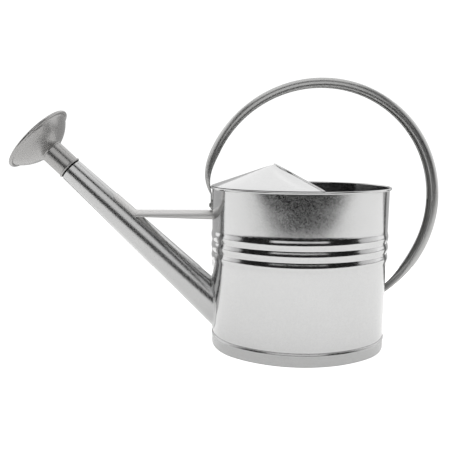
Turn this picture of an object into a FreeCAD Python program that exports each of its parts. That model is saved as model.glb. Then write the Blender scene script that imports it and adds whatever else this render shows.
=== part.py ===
"""Oval galvanised watering can with a long spout, a hooped handle and a pull-off rose.

The origin is the middle of the body on the floor. The spout points towards -X, the handle's
hoop lies in the XZ plane, and +Z is up. Lengths are millimetres, angles are degrees.
"""

import FreeCAD
import Part
import math
import os

V = FreeCAD.Vector
UP = V(0, 0, 1)
FULL_TURN = 360.0

# ---- gaps and fits ----
LAP_GAP = 0.05  # between sheets that are soldered or riveted together
FIT_GAP = 0.08  # round parts that slide or turn on each other
FREE_GAP = 0.4  # pieces of the pull-off rose that only stand near the spout

# ---- body ----
BODY_HALF_LENGTH = 134.0  # outside of the wall, along X
BODY_HALF_WIDTH = 100.0  # outside of the wall, along Y
BODY_END_RADIUS = 84.0  # of the oval's two ends
BODY_HEIGHT = 250.0  # floor to the top of the rolled rim
WALL_SHEET = 0.7
RIM_WIRE_RADIUS = 1.1
RIM_CURL_END = -140.0  # where the rolled edge ends, from the outward direction
BEAD_COUNT = 3
BEAD_PITCH = 16.0
BEAD_UP = 3.3  # beads' middle, above the middle of the plain wall between collar and brace
BEAD_HEIGHT = 1.4
SEAM_WIDTH = 6.0
SEAM_FOLDS = 2  # layers of sheet that the lock seam stands proud by
SEAM_PRESS = 0.1  # how far each fold is pressed into the one under it
SEAM_ANGLE = 52.0  # round the rear end of the oval, from +X
FOOT_SHEET = 0.8
FOOT_HEIGHT = 21.5
FOOT_LEDGE = 3.5  # how far the hoop's floor edge turns in under the wall
FOOT_BEND = 1.2
FOOT_BEAD_TOP = 1.5  # top edge of the hoop to its bead
FOOT_BEAD_WIDTH = 7.0
FOOT_BEAD_HEIGHT = 1.1
BASE_SHEET = 0.8
BASE_RAISE = 13.0  # floor to the underside of the can's bottom
BASE_DISH = 3.0  # depth of the pressed panel in the bottom
BASE_DISH_MARGIN = 16.0

# ---- splash hood ----
HOOD_SHEET = 0.7
HOOD_RISE = 33.0  # rim to the peak
HOOD_PEAK_BACK = 95.0  # front end of the body to the peak
HOOD_CREASE_BACK = 131.0  # front end of the body to the crease, at the rim
HOOD_EDGE_BACK = 152.0  # front end of the body to the back edge, at the rim
HOOD_NOSE = 0.04  # size of the flat at the peak, as a share of the rim's outline
HEM_WIRE_RADIUS = 0.9

# ---- spout ----
SPOUT_SHEET = 0.7
SPOUT_ANGLE = 43.85  # above the floor
SPOUT_ROOT_HEIGHT = 68.3  # of the spout's axis, where it meets the wall
SPOUT_LENGTH = 297.0  # wall to the shoulder, along the axis
SPOUT_ROOT_RADIUS = 28.0
SPOUT_NOSE_RADIUS = 17.6
SPOUT_SHOULDER = 2.0
SPOUT_TIP_LENGTH = 23.0
SPOUT_SEAM_ANGLE = 14.0
COLLAR_WIDTH = 4.5
COLLAR_SHEET = 0.8

# ---- rose ----
ROSE_SHEET = 0.7
NECK_STEP = 0.2  # how far the rose's neck stands proud of the spout's nose
NECK_LENGTH = 41.0
NECK_BEAD_RADIUS = 1.3
SEAL_THICKNESS = 1.2
SEAL_LENGTH = 7.0
SEAL_DEPTH = 9.0  # mouth of the neck to the seal
CONE_START = 38.0  # mouth of the neck to the small end of the cone
CONE_DEPTH = 26.5
CONE_RADIUS = 55.0
CONE_BULGE = 4.0
FACE_RADIUS = 57.2
FACE_DOME = 7.0
HOLE_RADIUS = 0.8
HOLE_PITCH = 8.2
HOLE_RINGS = 5
HOLES_PER_RING = 6  # each ring has this many more than the one inside it

# ---- handle ----
HOOP_ABOVE_FOOT = 56.35  # foot hoop's top edge to where the hoop meets the rear wall
HOOP_SHIFT = 29.8  # hoop's centre behind the body's middle
HOOP_DROP = 22.2  # rim down to the hoop's centre
HOOP_WIDTH = 19.0
HOOP_DEPTH = 14.0
HOOP_SHEET = 1.0
HOOP_LIP_RADIUS = 1.5
HOOP_TOP_END = 155.0  # where the plain hoop ends above the rim, from +X
STRAP_STEPS = 6
STRAP_BULGE = 14.0  # how far the strap swings out before it bends in to the wall
STRAP_END_BELOW_RIM = 13.0  # where the flattened end lies on the wall
STRAP_LAP = 4.0  # height over which strap and tab are one
TAB_WIDTH = 17.0
TAB_SHEET = 1.4
REAR_TAB_LENGTH = 22.0
REAR_RIVET_UP = 15.0  # bottom of the rear tab to its rivet
FRONT_RIVET_DROP = 30.0  # rim down to the front rivet
FRONT_TAB_BELOW = 6.0  # front rivet down to the end of the tab

# ---- brace ----
BRACE_DROP = 37.4  # rim down to the top of the brace
BRACE_WIDTH = 30.0
BRACE_SHEET = 1.0
BRACE_DEPTH_AT_WALL = 12.5
BRACE_DEPTH_AT_SPOUT = 9.0
BRACE_TAB_ABOVE = 8.0  # front rivet up to the end of the brace's tab
TONGUE_LENGTH = 36.0
TONGUE_ANGLE = 44.0  # each side of the spout's top

# ---- rivets ----
RIVET_RADIUS = 2.0
RIVET_HEAD_RADIUS = 4.0
RIVET_HEAD_HEIGHT = 2.4
RIVET_FLAT = 0.6  # radius of the flat on top of the head
RIVET_TAIL_RADIUS = 3.2
RIVET_TAIL_HEIGHT = 1.6
WASHER_RADIUS = 5.5
WASHER_SHEET = 1.0

# ---- worked out from the sizes above ----
NECK_RADIUS = SPOUT_NOSE_RADIUS + NECK_STEP
SIDE_RADIUS = (BODY_HALF_LENGTH**2 - 2 * BODY_HALF_LENGTH * BODY_END_RADIUS + BODY_HALF_WIDTH**2) / (
    2 * (BODY_HALF_WIDTH - BODY_END_RADIUS)
)
END_CENTRE_X = BODY_HALF_LENGTH - BODY_END_RADIUS
SIDE_CENTRE_Y = SIDE_RADIUS - BODY_HALF_WIDTH
END_HALF_ANGLE = math.degrees(math.atan2(SIDE_CENTRE_Y, END_CENTRE_X))
FLOOR_CLEAR = FOOT_SHEET + LAP_GAP
CURL_INNER = RIM_WIRE_RADIUS + LAP_GAP
CURL_OUTER = CURL_INNER + WALL_SHEET
RIM_CENTRE = V(CURL_INNER, 0, BODY_HEIGHT - CURL_OUTER)
RIM_OUTSIDE = RIM_CENTRE.x + CURL_OUTER
PEAK = V(HOOD_PEAK_BACK - BODY_HALF_LENGTH, 0, BODY_HEIGHT + HOOD_RISE)
SPOUT_DIRECTION = V(-math.cos(math.radians(SPOUT_ANGLE)), 0, math.sin(math.radians(SPOUT_ANGLE)))
SPOUT_ROOT = V(-BODY_HALF_LENGTH, 0, SPOUT_ROOT_HEIGHT)
SPOUT_FRAME = FreeCAD.Placement(SPOUT_ROOT, FreeCAD.Rotation(UP, SPOUT_DIRECTION))
SPOUT_TAPER = (SPOUT_ROOT_RADIUS - SPOUT_NOSE_RADIUS) / SPOUT_LENGTH
SPOUT_BURIED = 2 * SPOUT_ROOT_RADIUS
NECK_BORE = NECK_RADIUS - ROSE_SHEET
SPOUT_TIP_RADIUS = NECK_BORE - SEAL_THICKNESS - 2 * FIT_GAP
NECK_MOUTH = SPOUT_LENGTH + SPOUT_SHOULDER + FREE_GAP
CONE_SMALL_END = NECK_MOUTH + CONE_START
CONE_LARGE_END = CONE_SMALL_END + CONE_DEPTH
HOOP_CENTRE = V(HOOP_SHIFT, 0, BODY_HEIGHT - HOOP_DROP)
REAR_REACH = BODY_HALF_LENGTH - HOOP_SHIFT
REAR_TAB_TOP = FOOT_HEIGHT + HOOP_ABOVE_FOOT
HOOP_RADIUS = math.hypot(REAR_REACH, HOOP_CENTRE.z - REAR_TAB_TOP)
REAR_END = -math.degrees(math.acos(REAR_REACH / HOOP_RADIUS))
REAR_TAB_BOTTOM = REAR_TAB_TOP - REAR_TAB_LENGTH
REAR_RIVET_HEIGHT = REAR_TAB_BOTTOM + REAR_RIVET_UP
FRONT_RIVET_HEIGHT = BODY_HEIGHT - FRONT_RIVET_DROP
BRACE_TOP = BODY_HEIGHT - BRACE_DROP
COLLAR_TOP = SPOUT_ROOT_HEIGHT + (SPOUT_ROOT_RADIUS + COLLAR_WIDTH) / math.cos(math.radians(SPOUT_ANGLE))
BEAD_MIDDLE = (COLLAR_TOP + BRACE_TOP - BRACE_DEPTH_AT_WALL) / 2 + BEAD_UP
BEAD_CREST = BEAD_MIDDLE + BEAD_PITCH * (BEAD_COUNT - 1) / 2
BRACE_OUTSIDE = LAP_GAP + BRACE_SHEET
FRONT_TAB_INSIDE = BRACE_OUTSIDE + LAP_GAP


# ---- drawing helpers ----
def outline(start, steps):
    """A closed face in the XZ plane. A step is (x, z), or a pair of points for an arc through the first."""
    edges = []
    here = start
    for step in steps + [start]:
        if isinstance(step[0], tuple):
            points = [V(x, 0, z) for x, z in (here, step[0], step[1])]
            edges.append(Part.Arc(*points).toShape())
            here = step[1]
        elif step != here:
            edges.append(Part.makeLine(V(here[0], 0, here[1]), V(step[0], 0, step[1])))
            here = step
    return Part.Face(Part.Wire(edges))


def round_section(x, z, radius):
    return Part.Face(Part.Wire(Part.makeCircle(radius, V(x, 0, z), V(0, 1, 0))))


def turned(section, angle=FULL_TURN):
    return section.revolve(V(0, 0, 0), UP, angle)


def joined(shapes):
    return shapes[0].multiFuse(shapes[1:]).removeSplitter()


def on_spout(shape):
    """Moves a piece drawn with its axis on Z and its top side at +X to its place on the spout."""
    placed = shape.copy()
    placed.Placement = SPOUT_FRAME.multiply(placed.Placement)
    return placed


# ---- the oval ----
def oval_arcs():
    """Centre, radius of the wall's outside, first and last angle of the oval's four arcs."""
    corner = END_HALF_ANGLE
    return (
        (V(END_CENTRE_X, 0, 0), BODY_END_RADIUS, -corner, corner),
        (V(0, -SIDE_CENTRE_Y, 0), SIDE_RADIUS, corner, 180 - corner),
        (V(-END_CENTRE_X, 0, 0), BODY_END_RADIUS, 180 - corner, 180 + corner),
        (V(0, SIDE_CENTRE_Y, 0), SIDE_RADIUS, 180 + corner, 360 - corner),
    )


def arc_edge(centre, radius, first, last, height):
    points = []
    for angle in (first, (first + last) / 2, last):
        turn = math.radians(angle)
        points.append(centre + V(radius * math.cos(turn), radius * math.sin(turn), height))
    return Part.Arc(*points).toShape()


def oval_prism(outward, low, high):
    """A solid inside the wall's outline moved outward, between two heights."""
    edges = []
    for centre, radius, first, last in oval_arcs():
        edges.append(arc_edge(centre, radius + outward, first, last, low))
    return Part.Face(Part.Wire(edges)).extrude(V(0, 0, high - low))


def along_arc(section, centre, radius, first, last):
    """Carries a section, drawn with x outward from the wall's outside, along one arc of the oval."""
    face = section.copy()
    face.translate(V(radius, 0, 0))
    face.rotate(V(0, 0, 0), UP, first)
    face.translate(centre)
    return face.revolve(centre, UP, last - first)


def around_oval(section):
    return joined([along_arc(section, *arc) for arc in oval_arcs()])


def wall_band(inside, thickness, half_width, low, high, side):
    """A strip that lies on the wall at the front (side -1) or rear (side 1) end of the body."""
    reach = BODY_END_RADIUS
    block = Part.makeBox(reach, 2 * half_width, high - low, V(0, -half_width, low))
    block.translate(V(BODY_HALF_LENGTH - reach / 2 if side > 0 else -BODY_HALF_LENGTH - reach / 2, 0, 0))
    band = oval_prism(inside + thickness, low, high).cut(oval_prism(inside, low, high))
    return band.common(block)


# ---- body ----
def wall_section(shift):
    """The wall's sheet from its bottom edge to the rolled rim, moved outward by shift."""
    rim_x = RIM_CENTRE.x
    rim_z = RIM_CENTRE.z
    outside = []
    inside = []
    for number in range(BEAD_COUNT):
        crest = BEAD_CREST - number * BEAD_PITCH
        top = crest + BEAD_PITCH / 2
        bottom = crest - BEAD_PITCH / 2
        outside += [(0.0, top), ((BEAD_HEIGHT, crest), (0.0, bottom))]
        arc_back = ((BEAD_HEIGHT - WALL_SHEET, crest), (-WALL_SHEET, top))
        inside = [(-WALL_SHEET, bottom), arc_back] + inside
    end = math.radians(RIM_CURL_END)
    tip = (math.cos(end), math.sin(end))
    curl_out = ((rim_x, rim_z + CURL_OUTER), (rim_x + CURL_OUTER, rim_z))
    curl_down = ((rim_x, rim_z - CURL_OUTER), (rim_x + CURL_OUTER * tip[0], rim_z + CURL_OUTER * tip[1]))
    curl_tip = (rim_x + CURL_INNER * tip[0], rim_z + CURL_INNER * tip[1])
    curl_back = ((rim_x, rim_z - CURL_INNER), (rim_x + CURL_INNER, rim_z))
    curl_in = ((rim_x, rim_z + CURL_INNER), (0.0, rim_z))
    steps = inside + [(-WALL_SHEET, rim_z), curl_out, curl_down, curl_tip, curl_back, curl_in]
    steps += outside + [(0.0, FLOOR_CLEAR)]
    section = outline((-WALL_SHEET, FLOOR_CLEAR), steps)
    section.translate(V(shift, 0, 0))
    return section


def wall_seam():
    """The lock seam: narrow strips of the wall's own section, stacked on it between foot and rim."""
    half_angle = math.degrees(SEAM_WIDTH / 2 / BODY_END_RADIUS)
    centre, radius, _, _ = oval_arcs()[0]
    first = SEAM_ANGLE - half_angle
    rise = WALL_SHEET - SEAM_PRESS
    folds = [
        along_arc(wall_section(rise * (fold + 1)), centre, radius, first, first + 2 * half_angle)
        for fold in range(SEAM_FOLDS)
    ]
    below_rim = RIM_CENTRE.z - CURL_OUTER - LAP_GAP
    return joined(folds).common(oval_prism(2 * RIM_OUTSIDE, FOOT_HEIGHT + LAP_GAP, below_rim))


def rivet_hole(side, height):
    radius = RIVET_RADIUS + LAP_GAP
    start = BODY_HALF_LENGTH - BODY_END_RADIUS / 2
    return Part.makeCylinder(radius, BODY_END_RADIUS, V(side * start, 0, height), V(side, 0, 0))


def wall_shell():
    wall = joined([around_oval(wall_section(0.0)), wall_seam()])
    bore = SPOUT_ROOT_RADIUS - SPOUT_SHEET
    inlet = on_spout(Part.makeCylinder(bore, 2 * SPOUT_BURIED, V(0, 0, -SPOUT_BURIED)))
    holes = [inlet, rivet_hole(-1, FRONT_RIVET_HEIGHT), rivet_hole(1, REAR_RIVET_HEIGHT)]
    return wall.cut(holes)


def rim_wire():
    return around_oval(round_section(RIM_CENTRE.x, RIM_CENTRE.z, RIM_WIRE_RADIUS))


def foot_hoop():
    """The bottom hoop: a ledge on the floor, a plain band and a bead under its top edge."""
    inside = LAP_GAP
    outside = LAP_GAP + FOOT_SHEET
    bead_top = FOOT_HEIGHT - FOOT_BEAD_TOP
    bead_mid = bead_top - FOOT_BEAD_WIDTH / 2
    bead_low = bead_top - FOOT_BEAD_WIDTH
    corner = FOOT_BEND * (1 - math.sqrt(0.5))
    steps = [
        (inside, bead_top),
        ((inside + FOOT_BEAD_HEIGHT, bead_mid), (inside, bead_low)),
        (inside, FOOT_SHEET),
        (-FOOT_LEDGE, FOOT_SHEET),
        (-FOOT_LEDGE, 0.0),
        (outside - FOOT_BEND, 0.0),
        ((outside - corner, corner), (outside, FOOT_BEND)),
        (outside, bead_low),
        ((outside + FOOT_BEAD_HEIGHT, bead_mid), (outside, bead_top)),
        (outside, FOOT_HEIGHT),
    ]
    return around_oval(outline((inside, FOOT_HEIGHT), steps))


def base_plate():
    """The bottom: a plate with a shallow pressed panel and a flange turned down inside the wall."""
    edge = -WALL_SHEET - LAP_GAP
    top = BASE_RAISE + BASE_SHEET
    panel = edge - BASE_DISH_MARGIN
    slope = BASE_DISH
    flange = around_oval(outline((edge, FLOOR_CLEAR), [
        (edge, top),
        (panel, top),
        (panel - slope, top - BASE_DISH),
        (panel - slope - BASE_SHEET, top - BASE_DISH),
        (panel - slope - BASE_SHEET, BASE_RAISE - BASE_DISH),
        (panel - slope, BASE_RAISE - BASE_DISH),
        (panel, BASE_RAISE),
        (edge - BASE_SHEET, BASE_RAISE),
        (edge - BASE_SHEET, FLOOR_CLEAR),
    ]))
    middle = oval_prism(panel - slope - BASE_SHEET, BASE_RAISE - BASE_DISH, top - BASE_DISH)
    return joined([flange, middle])


# ---- splash hood ----
def hood_side_angle(x):
    """The angle of a point of the side arc, at the rim, that lies at x."""
    return math.degrees(math.acos(x / (SIDE_RADIUS + RIM_CENTRE.x)))


def shrunk(edge):
    """The edge's copy near the peak, where the hood has its small flat."""
    return edge.copy().scale(HOOD_NOSE, PEAK)


def hood_panel(edge):
    """The sheet between an edge on the rim and its small copy at the peak, thickened upward."""
    face = Part.makeLoft([Part.Wire(edge), Part.Wire(shrunk(edge))], False, True)
    return face.Faces[0].extrude(V(0, 0, HOOD_SHEET))


def hood_rim_edges():
    """Edges of the hood's foot on the rim, from the near back corner round the front to the far one."""
    height = BODY_HEIGHT + LAP_GAP
    crease = HOOD_CREASE_BACK - BODY_HALF_LENGTH
    back = HOOD_EDGE_BACK - BODY_HALF_LENGTH
    _, far_side, front, near_side = oval_arcs()
    rim = RIM_CENTRE.x
    turn = hood_side_angle(crease)
    far = arc_edge(far_side[0], far_side[1] + rim, turn, far_side[3], height)
    end = arc_edge(front[0], front[1] + rim, front[2], front[3], height)
    near = arc_edge(near_side[0], near_side[1] + rim, near_side[2], FULL_TURN - turn, height)
    turn = math.radians(hood_side_angle(back))
    corner_y = far_side[0].y + (far_side[1] + rim) * math.sin(turn)
    far_lip = Part.makeLine(V(back, corner_y, height), far.Vertexes[0].Point)
    near_lip = Part.makeLine(near.Vertexes[-1].Point, V(back, -corner_y, height))
    return [far_lip, far, end, near, near_lip]


def hood_back_corners():
    edges = hood_rim_edges()
    return edges[0].Vertexes[0].Point, edges[-1].Vertexes[-1].Point


def hem_rod(radius):
    """A round rod up one back edge of the hood and down the other."""
    lift = V(0, 0, HOOD_SHEET / 2)
    top = PEAK + lift
    rods = [Part.makeSphere(radius, top)]
    for corner in hood_back_corners():
        along = corner + lift - top
        rods.append(Part.makeCylinder(radius, along.Length + radius, top, along))
    return joined(rods)


def above_rim():
    """Everything above the top of the rim."""
    width = 4 * BODY_HALF_LENGTH
    return Part.makeBox(width, width, 2 * HOOD_RISE, V(-width / 2, -width / 2, BODY_HEIGHT + LAP_GAP))


def splash_hood():
    panels = [hood_panel(edge) for edge in hood_rim_edges()]
    small = [shrunk(edge) for edge in hood_rim_edges()]
    gap = Part.makeLine(small[-1].Vertexes[-1].Point, small[0].Vertexes[0].Point)
    nose = Part.Face(Part.Wire(small + [gap])).extrude(V(0, 0, HOOD_SHEET))
    hem = hem_rod(HEM_WIRE_RADIUS + LAP_GAP + HOOD_SHEET)
    sheet = joined(panels + [nose, hem]).common(above_rim())
    return sheet.cut(hem_rod(HEM_WIRE_RADIUS + LAP_GAP))


def hood_hem_wire():
    return hem_rod(HEM_WIRE_RADIUS).common(above_rim())


# ---- spout ----
def spout_radius(distance):
    return SPOUT_ROOT_RADIUS - SPOUT_TAPER * distance


def spout_core(outward, first, last):
    """A solid cone that is the spout's outside moved outward, between two distances from the wall."""
    low = spout_radius(first) + outward
    high = spout_radius(last) + outward
    return turned(outline((0.0, first), [(low, first), (high, last), (0.0, last)]))


def spout_tube():
    nose = SPOUT_NOSE_RADIUS
    tip = SPOUT_TIP_RADIUS
    shoulder = SPOUT_LENGTH + SPOUT_SHOULDER
    end = NECK_MOUTH + SPOUT_TIP_LENGTH
    root = spout_radius(-SPOUT_BURIED)
    tube = turned(outline((root, -SPOUT_BURIED), [
        (nose, SPOUT_LENGTH),
        (tip, shoulder),
        (tip, end),
        (tip - SPOUT_SHEET, end),
        (tip - SPOUT_SHEET, shoulder),
        (nose - SPOUT_SHEET, SPOUT_LENGTH),
        (root - SPOUT_SHEET, -SPOUT_BURIED),
    ]))
    strip = turned(outline((root - SPOUT_SHEET / 2, -SPOUT_BURIED), [
        (root + SPOUT_SHEET, -SPOUT_BURIED),
        (nose + SPOUT_SHEET, SPOUT_LENGTH),
        (nose - SPOUT_SHEET / 2, SPOUT_LENGTH),
    ]), SPOUT_SEAM_ANGLE)
    strip.rotate(V(0, 0, 0), UP, 180 - SPOUT_SEAM_ANGLE / 2)
    whole = on_spout(joined([tube, strip]))
    return whole.cut(oval_prism(LAP_GAP, -BODY_HEIGHT, 2 * BODY_HEIGHT))


def spout_collar():
    """The soldered flange round the spout's root: a saddle of sheet that lies on the wall."""
    grip = LAP_GAP + SPOUT_SHEET
    ring = spout_core(grip + COLLAR_WIDTH, -SPOUT_BURIED, SPOUT_BURIED)
    ring = on_spout(ring.cut(spout_core(grip, -2 * SPOUT_BURIED, 2 * SPOUT_BURIED)))
    tall = BODY_HEIGHT
    low = FOOT_HEIGHT + FREE_GAP
    band = oval_prism(LAP_GAP + COLLAR_SHEET, low, tall).cut(oval_prism(LAP_GAP, low, tall))
    corner = V(-BODY_HALF_LENGTH - BODY_HALF_LENGTH / 2, -BODY_HALF_WIDTH, 0)
    front = Part.makeBox(BODY_HALF_LENGTH, 2 * BODY_HALF_WIDTH, tall, corner)
    return ring.common(band).common(front)


# ---- rose ----
def rose_neck():
    """The socket that slips over the spout's tip, with a rolled bead at its mouth."""
    bead = round_section(NECK_RADIUS - NECK_BEAD_RADIUS / 2, NECK_MOUTH + NECK_BEAD_RADIUS, NECK_BEAD_RADIUS)
    low = NECK_MOUTH + NECK_BEAD_RADIUS
    high = NECK_MOUTH + NECK_LENGTH
    wall = outline((NECK_BORE, low), [(NECK_RADIUS, low), (NECK_RADIUS, high), (NECK_BORE, high)])
    bore = Part.makeCylinder(NECK_BORE, 2 * NECK_LENGTH, V(0, 0, NECK_MOUTH - NECK_LENGTH / 2))
    return on_spout(joined([turned(bead), turned(wall)]).cut(bore))


def rose_seal():
    inner = SPOUT_TIP_RADIUS + FIT_GAP
    outer = inner + SEAL_THICKNESS
    low = NECK_MOUTH + SEAL_DEPTH
    high = low + SEAL_LENGTH
    return on_spout(turned(outline((inner, low), [(outer, low), (outer, high), (inner, high)])))


def bulged_middle(start, end, bulge):
    """The middle of an arc from start to end that bulges to the right of its direction."""
    run = V(end[0] - start[0], 0, end[1] - start[1])
    side = V(run.z, 0, -run.x).normalize() * bulge
    return ((start[0] + end[0]) / 2 + side.x, (start[1] + end[1]) / 2 + side.z)


def rose_cone():
    """The rose's bulged back, from the neck to the flat edge that the face is folded over."""
    small = NECK_RADIUS + LAP_GAP
    edge = FACE_RADIUS - ROSE_SHEET - LAP_GAP
    outer = ((small, CONE_SMALL_END), (CONE_RADIUS, CONE_LARGE_END))
    inner_start = (small, CONE_SMALL_END + ROSE_SHEET * math.sqrt(2))
    inner = (inner_start, (CONE_RADIUS - ROSE_SHEET, CONE_LARGE_END + ROSE_SHEET))
    steps = [
        (bulged_middle(*outer, CONE_BULGE), outer[1]),
        (edge, CONE_LARGE_END),
        (edge, CONE_LARGE_END + ROSE_SHEET),
        inner[1],
        (bulged_middle(*inner, CONE_BULGE), inner[0]),
    ]
    return on_spout(turned(outline(outer[0], steps)))


def rose_holes():
    """Rings of holes through the face, each along the dome's normal at its place."""
    rim = CONE_RADIUS - ROSE_SHEET
    ball = (rim**2 + FACE_DOME**2) / (2 * FACE_DOME)
    centre = CONE_LARGE_END + 2 * ROSE_SHEET + FACE_DOME - ball
    holes = [Part.makeCylinder(HOLE_RADIUS, 2 * FACE_DOME, V(0, 0, centre + ball - FACE_DOME))]
    for ring in range(1, HOLE_RINGS + 1):
        count = HOLES_PER_RING * ring
        tilt = math.asin(ring * HOLE_PITCH / ball)
        for number in range(count):
            turn = 2 * math.pi * number / count
            way = V(math.sin(tilt) * math.cos(turn), math.sin(tilt) * math.sin(turn), math.cos(tilt))
            start = V(0, 0, centre) + way * (ball - FACE_DOME)
            holes.append(Part.makeCylinder(HOLE_RADIUS, 2 * FACE_DOME, start, way))
    return holes


def rose_face():
    """The perforated dome, with its edge folded back round the edge of the rose's back."""
    gap = LAP_GAP
    sheet = ROSE_SHEET
    front = CONE_LARGE_END + sheet + gap
    back = CONE_LARGE_END - gap
    rim = CONE_RADIUS - sheet
    crown = (0.0, front + sheet + FACE_DOME)
    ball = (rim**2 + FACE_DOME**2) / (2 * FACE_DOME)
    tilt = math.asin(rim / ball) / 2
    lift = ball * (math.cos(tilt) - math.cos(2 * tilt))
    halfway = (ball * math.sin(tilt), front + sheet + lift)
    halfway_in = (halfway[0], halfway[1] - sheet)
    steps = [
        (halfway, (rim, front + sheet)),
        (FACE_RADIUS, front + sheet),
        (FACE_RADIUS, back - sheet),
        (CONE_RADIUS + gap, back - sheet),
        (CONE_RADIUS + gap, back),
        (FACE_RADIUS - sheet, back),
        (FACE_RADIUS - sheet, front),
        (rim, front),
        (halfway_in, (0.0, crown[1] - sheet)),
    ]
    return on_spout(turned(outline(crown, steps)).cut(rose_holes()))


# ---- handle ----
def channel_section(width, depth, sheet):
    """A bowed channel's closed outline: x is its width, y = 0 its crown and y = -depth its edges."""
    half = width / 2
    inner = half - sheet
    back = Part.Arc(V(-half, -depth, 0), V(0, 0, 0), V(half, -depth, 0)).toShape()
    right = Part.makeLine(V(half, -depth, 0), V(inner, -depth, 0))
    hollow = Part.Arc(V(inner, -depth, 0), V(0, -sheet, 0), V(-inner, -depth, 0)).toShape()
    left = Part.makeLine(V(-inner, -depth, 0), V(-half, -depth, 0))
    return Part.Wire([back, right, hollow, left])


def stood_on(wire, crown, outward):
    """Places a section with its crown at a point, facing outward in the XZ plane."""
    ahead = outward.cross(V(0, 1, 0))
    turn = FreeCAD.Rotation(V(0, 1, 0), outward, ahead, "XYZ")
    placed = wire.copy()
    placed.Placement = FreeCAD.Placement(crown, turn)
    return placed


def hoop_point(angle, radius=HOOP_RADIUS):
    turn = math.radians(angle)
    return HOOP_CENTRE + V(radius * math.cos(turn), 0, radius * math.sin(turn))


def hoop_arc():
    """The plain hoop, from the rear end of the body over the top to just above the rim."""
    start = REAR_END - 4
    outward = (hoop_point(start) - HOOP_CENTRE).normalize()
    channel = channel_section(HOOP_WIDTH, HOOP_DEPTH, HOOP_SHEET)
    section = Part.Face(stood_on(channel, hoop_point(start), outward))
    sweep = HOOP_TOP_END - start
    pieces = [section.revolve(HOOP_CENTRE, V(0, -1, 0), sweep)]
    for side in (-1, 1):
        centre = hoop_point(start, HOOP_RADIUS - HOOP_DEPTH + HOOP_LIP_RADIUS)
        centre.y = side * (HOOP_WIDTH / 2 - HOOP_LIP_RADIUS / 2)
        lip = Part.Face(Part.Wire(Part.makeCircle(HOOP_LIP_RADIUS, centre, outward.cross(V(0, 1, 0)))))
        pieces.append(lip.revolve(HOOP_CENTRE, V(0, -1, 0), sweep))
    return joined(pieces)


def front_strap():
    """The hoop's front end: the channel narrows, closes and bends in to lie on the wall."""
    start = hoop_point(HOOP_TOP_END)
    start_way = V(0, -1, 0).cross((start - HOOP_CENTRE).normalize())
    end = V(-BODY_HALF_LENGTH - FRONT_TAB_INSIDE - TAB_SHEET, 0, BODY_HEIGHT - STRAP_END_BELOW_RIM)
    reach = (start - end).Length / 3
    path = Part.BezierCurve()
    path.setPoles([start, start + start_way * reach, end + V(-STRAP_BULGE, 0, reach), end])
    wires = []
    for step in range(STRAP_STEPS + 1):
        share = step / STRAP_STEPS
        point = path.value(share)
        along = path.tangent(share)[0]
        outward = V(0, 1, 0).cross(along)
        width = HOOP_WIDTH + (TAB_WIDTH - HOOP_WIDTH) * share
        closing = share**1.5
        depth = HOOP_DEPTH + (TAB_SHEET + HOOP_SHEET - HOOP_DEPTH) * closing
        wires.append(stood_on(channel_section(width, depth, HOOP_SHEET), point, outward))
    return Part.makeLoft(wires, True, True)


def handle_hoop():
    wall = oval_prism(FRONT_TAB_INSIDE, 0, BODY_HEIGHT)
    rear_wall = oval_prism(LAP_GAP, 0, BODY_HEIGHT)
    front_tab = wall_band(
        FRONT_TAB_INSIDE, TAB_SHEET, TAB_WIDTH / 2,
        FRONT_RIVET_HEIGHT - FRONT_TAB_BELOW, BODY_HEIGHT - STRAP_END_BELOW_RIM + STRAP_LAP, -1,
    )
    rear_tab = wall_band(LAP_GAP, TAB_SHEET, TAB_WIDTH / 2, REAR_TAB_BOTTOM, REAR_TAB_TOP + TAB_SHEET, 1)
    rim = around_oval(round_section(RIM_CENTRE.x, RIM_CENTRE.z, CURL_OUTER + LAP_GAP))
    rear = hoop_arc().cut(rear_wall)
    front = front_strap().cut([wall, rim])
    holes = [rivet_hole(-1, FRONT_RIVET_HEIGHT), rivet_hole(1, REAR_RIVET_HEIGHT)]
    return joined([rear, front, front_tab, rear_tab]).cut(holes)


# ---- brace ----
def brace_meeting():
    """Where the top of the brace meets the top of the spout, and how far along the spout that is."""
    lean = math.radians(SPOUT_ANGLE)
    rise = BRACE_TOP - SPOUT_ROOT_HEIGHT
    along = (rise - SPOUT_ROOT_RADIUS * math.cos(lean)) / (math.sin(lean) - SPOUT_TAPER * math.cos(lean))
    top = SPOUT_FRAME.multVec(V(spout_radius(along), 0, along))
    return top, along


def spout_brace():
    """The strut: a channel, a tab turned up on the wall and a tongue that lies on the spout."""
    meeting, along = brace_meeting()
    wires = []
    for x, depth in (
        (-BODY_HALF_LENGTH - LAP_GAP, BRACE_DEPTH_AT_WALL),
        (meeting.x - BRACE_DEPTH_AT_SPOUT, BRACE_DEPTH_AT_SPOUT),
    ):
        wires.append(stood_on(channel_section(BRACE_WIDTH, depth, BRACE_SHEET), V(x, 0, BRACE_TOP), UP))
    strut = Part.makeLoft(wires, True, True)
    strut = strut.cut([on_spout(spout_core(LAP_GAP, 0, SPOUT_LENGTH)), oval_prism(LAP_GAP, 0, BODY_HEIGHT)])
    root = along - BRACE_DEPTH_AT_SPOUT
    tip = along + TONGUE_LENGTH
    low = spout_radius(root) + LAP_GAP
    high = spout_radius(tip) + LAP_GAP
    tongue = turned(outline((low, root), [
        (low + BRACE_SHEET, root),
        (high + BRACE_SHEET, tip),
        (high, tip),
    ]), 2 * TONGUE_ANGLE)
    tongue.rotate(V(0, 0, 0), UP, -TONGUE_ANGLE)
    tab_top = FRONT_RIVET_HEIGHT + BRACE_TAB_ABOVE
    tab = wall_band(LAP_GAP, BRACE_SHEET, TAB_WIDTH / 2, BRACE_TOP - 2 * BRACE_SHEET, tab_top, -1)
    return joined([strut, on_spout(tongue), tab]).cut(rivet_hole(-1, FRONT_RIVET_HEIGHT))


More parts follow.
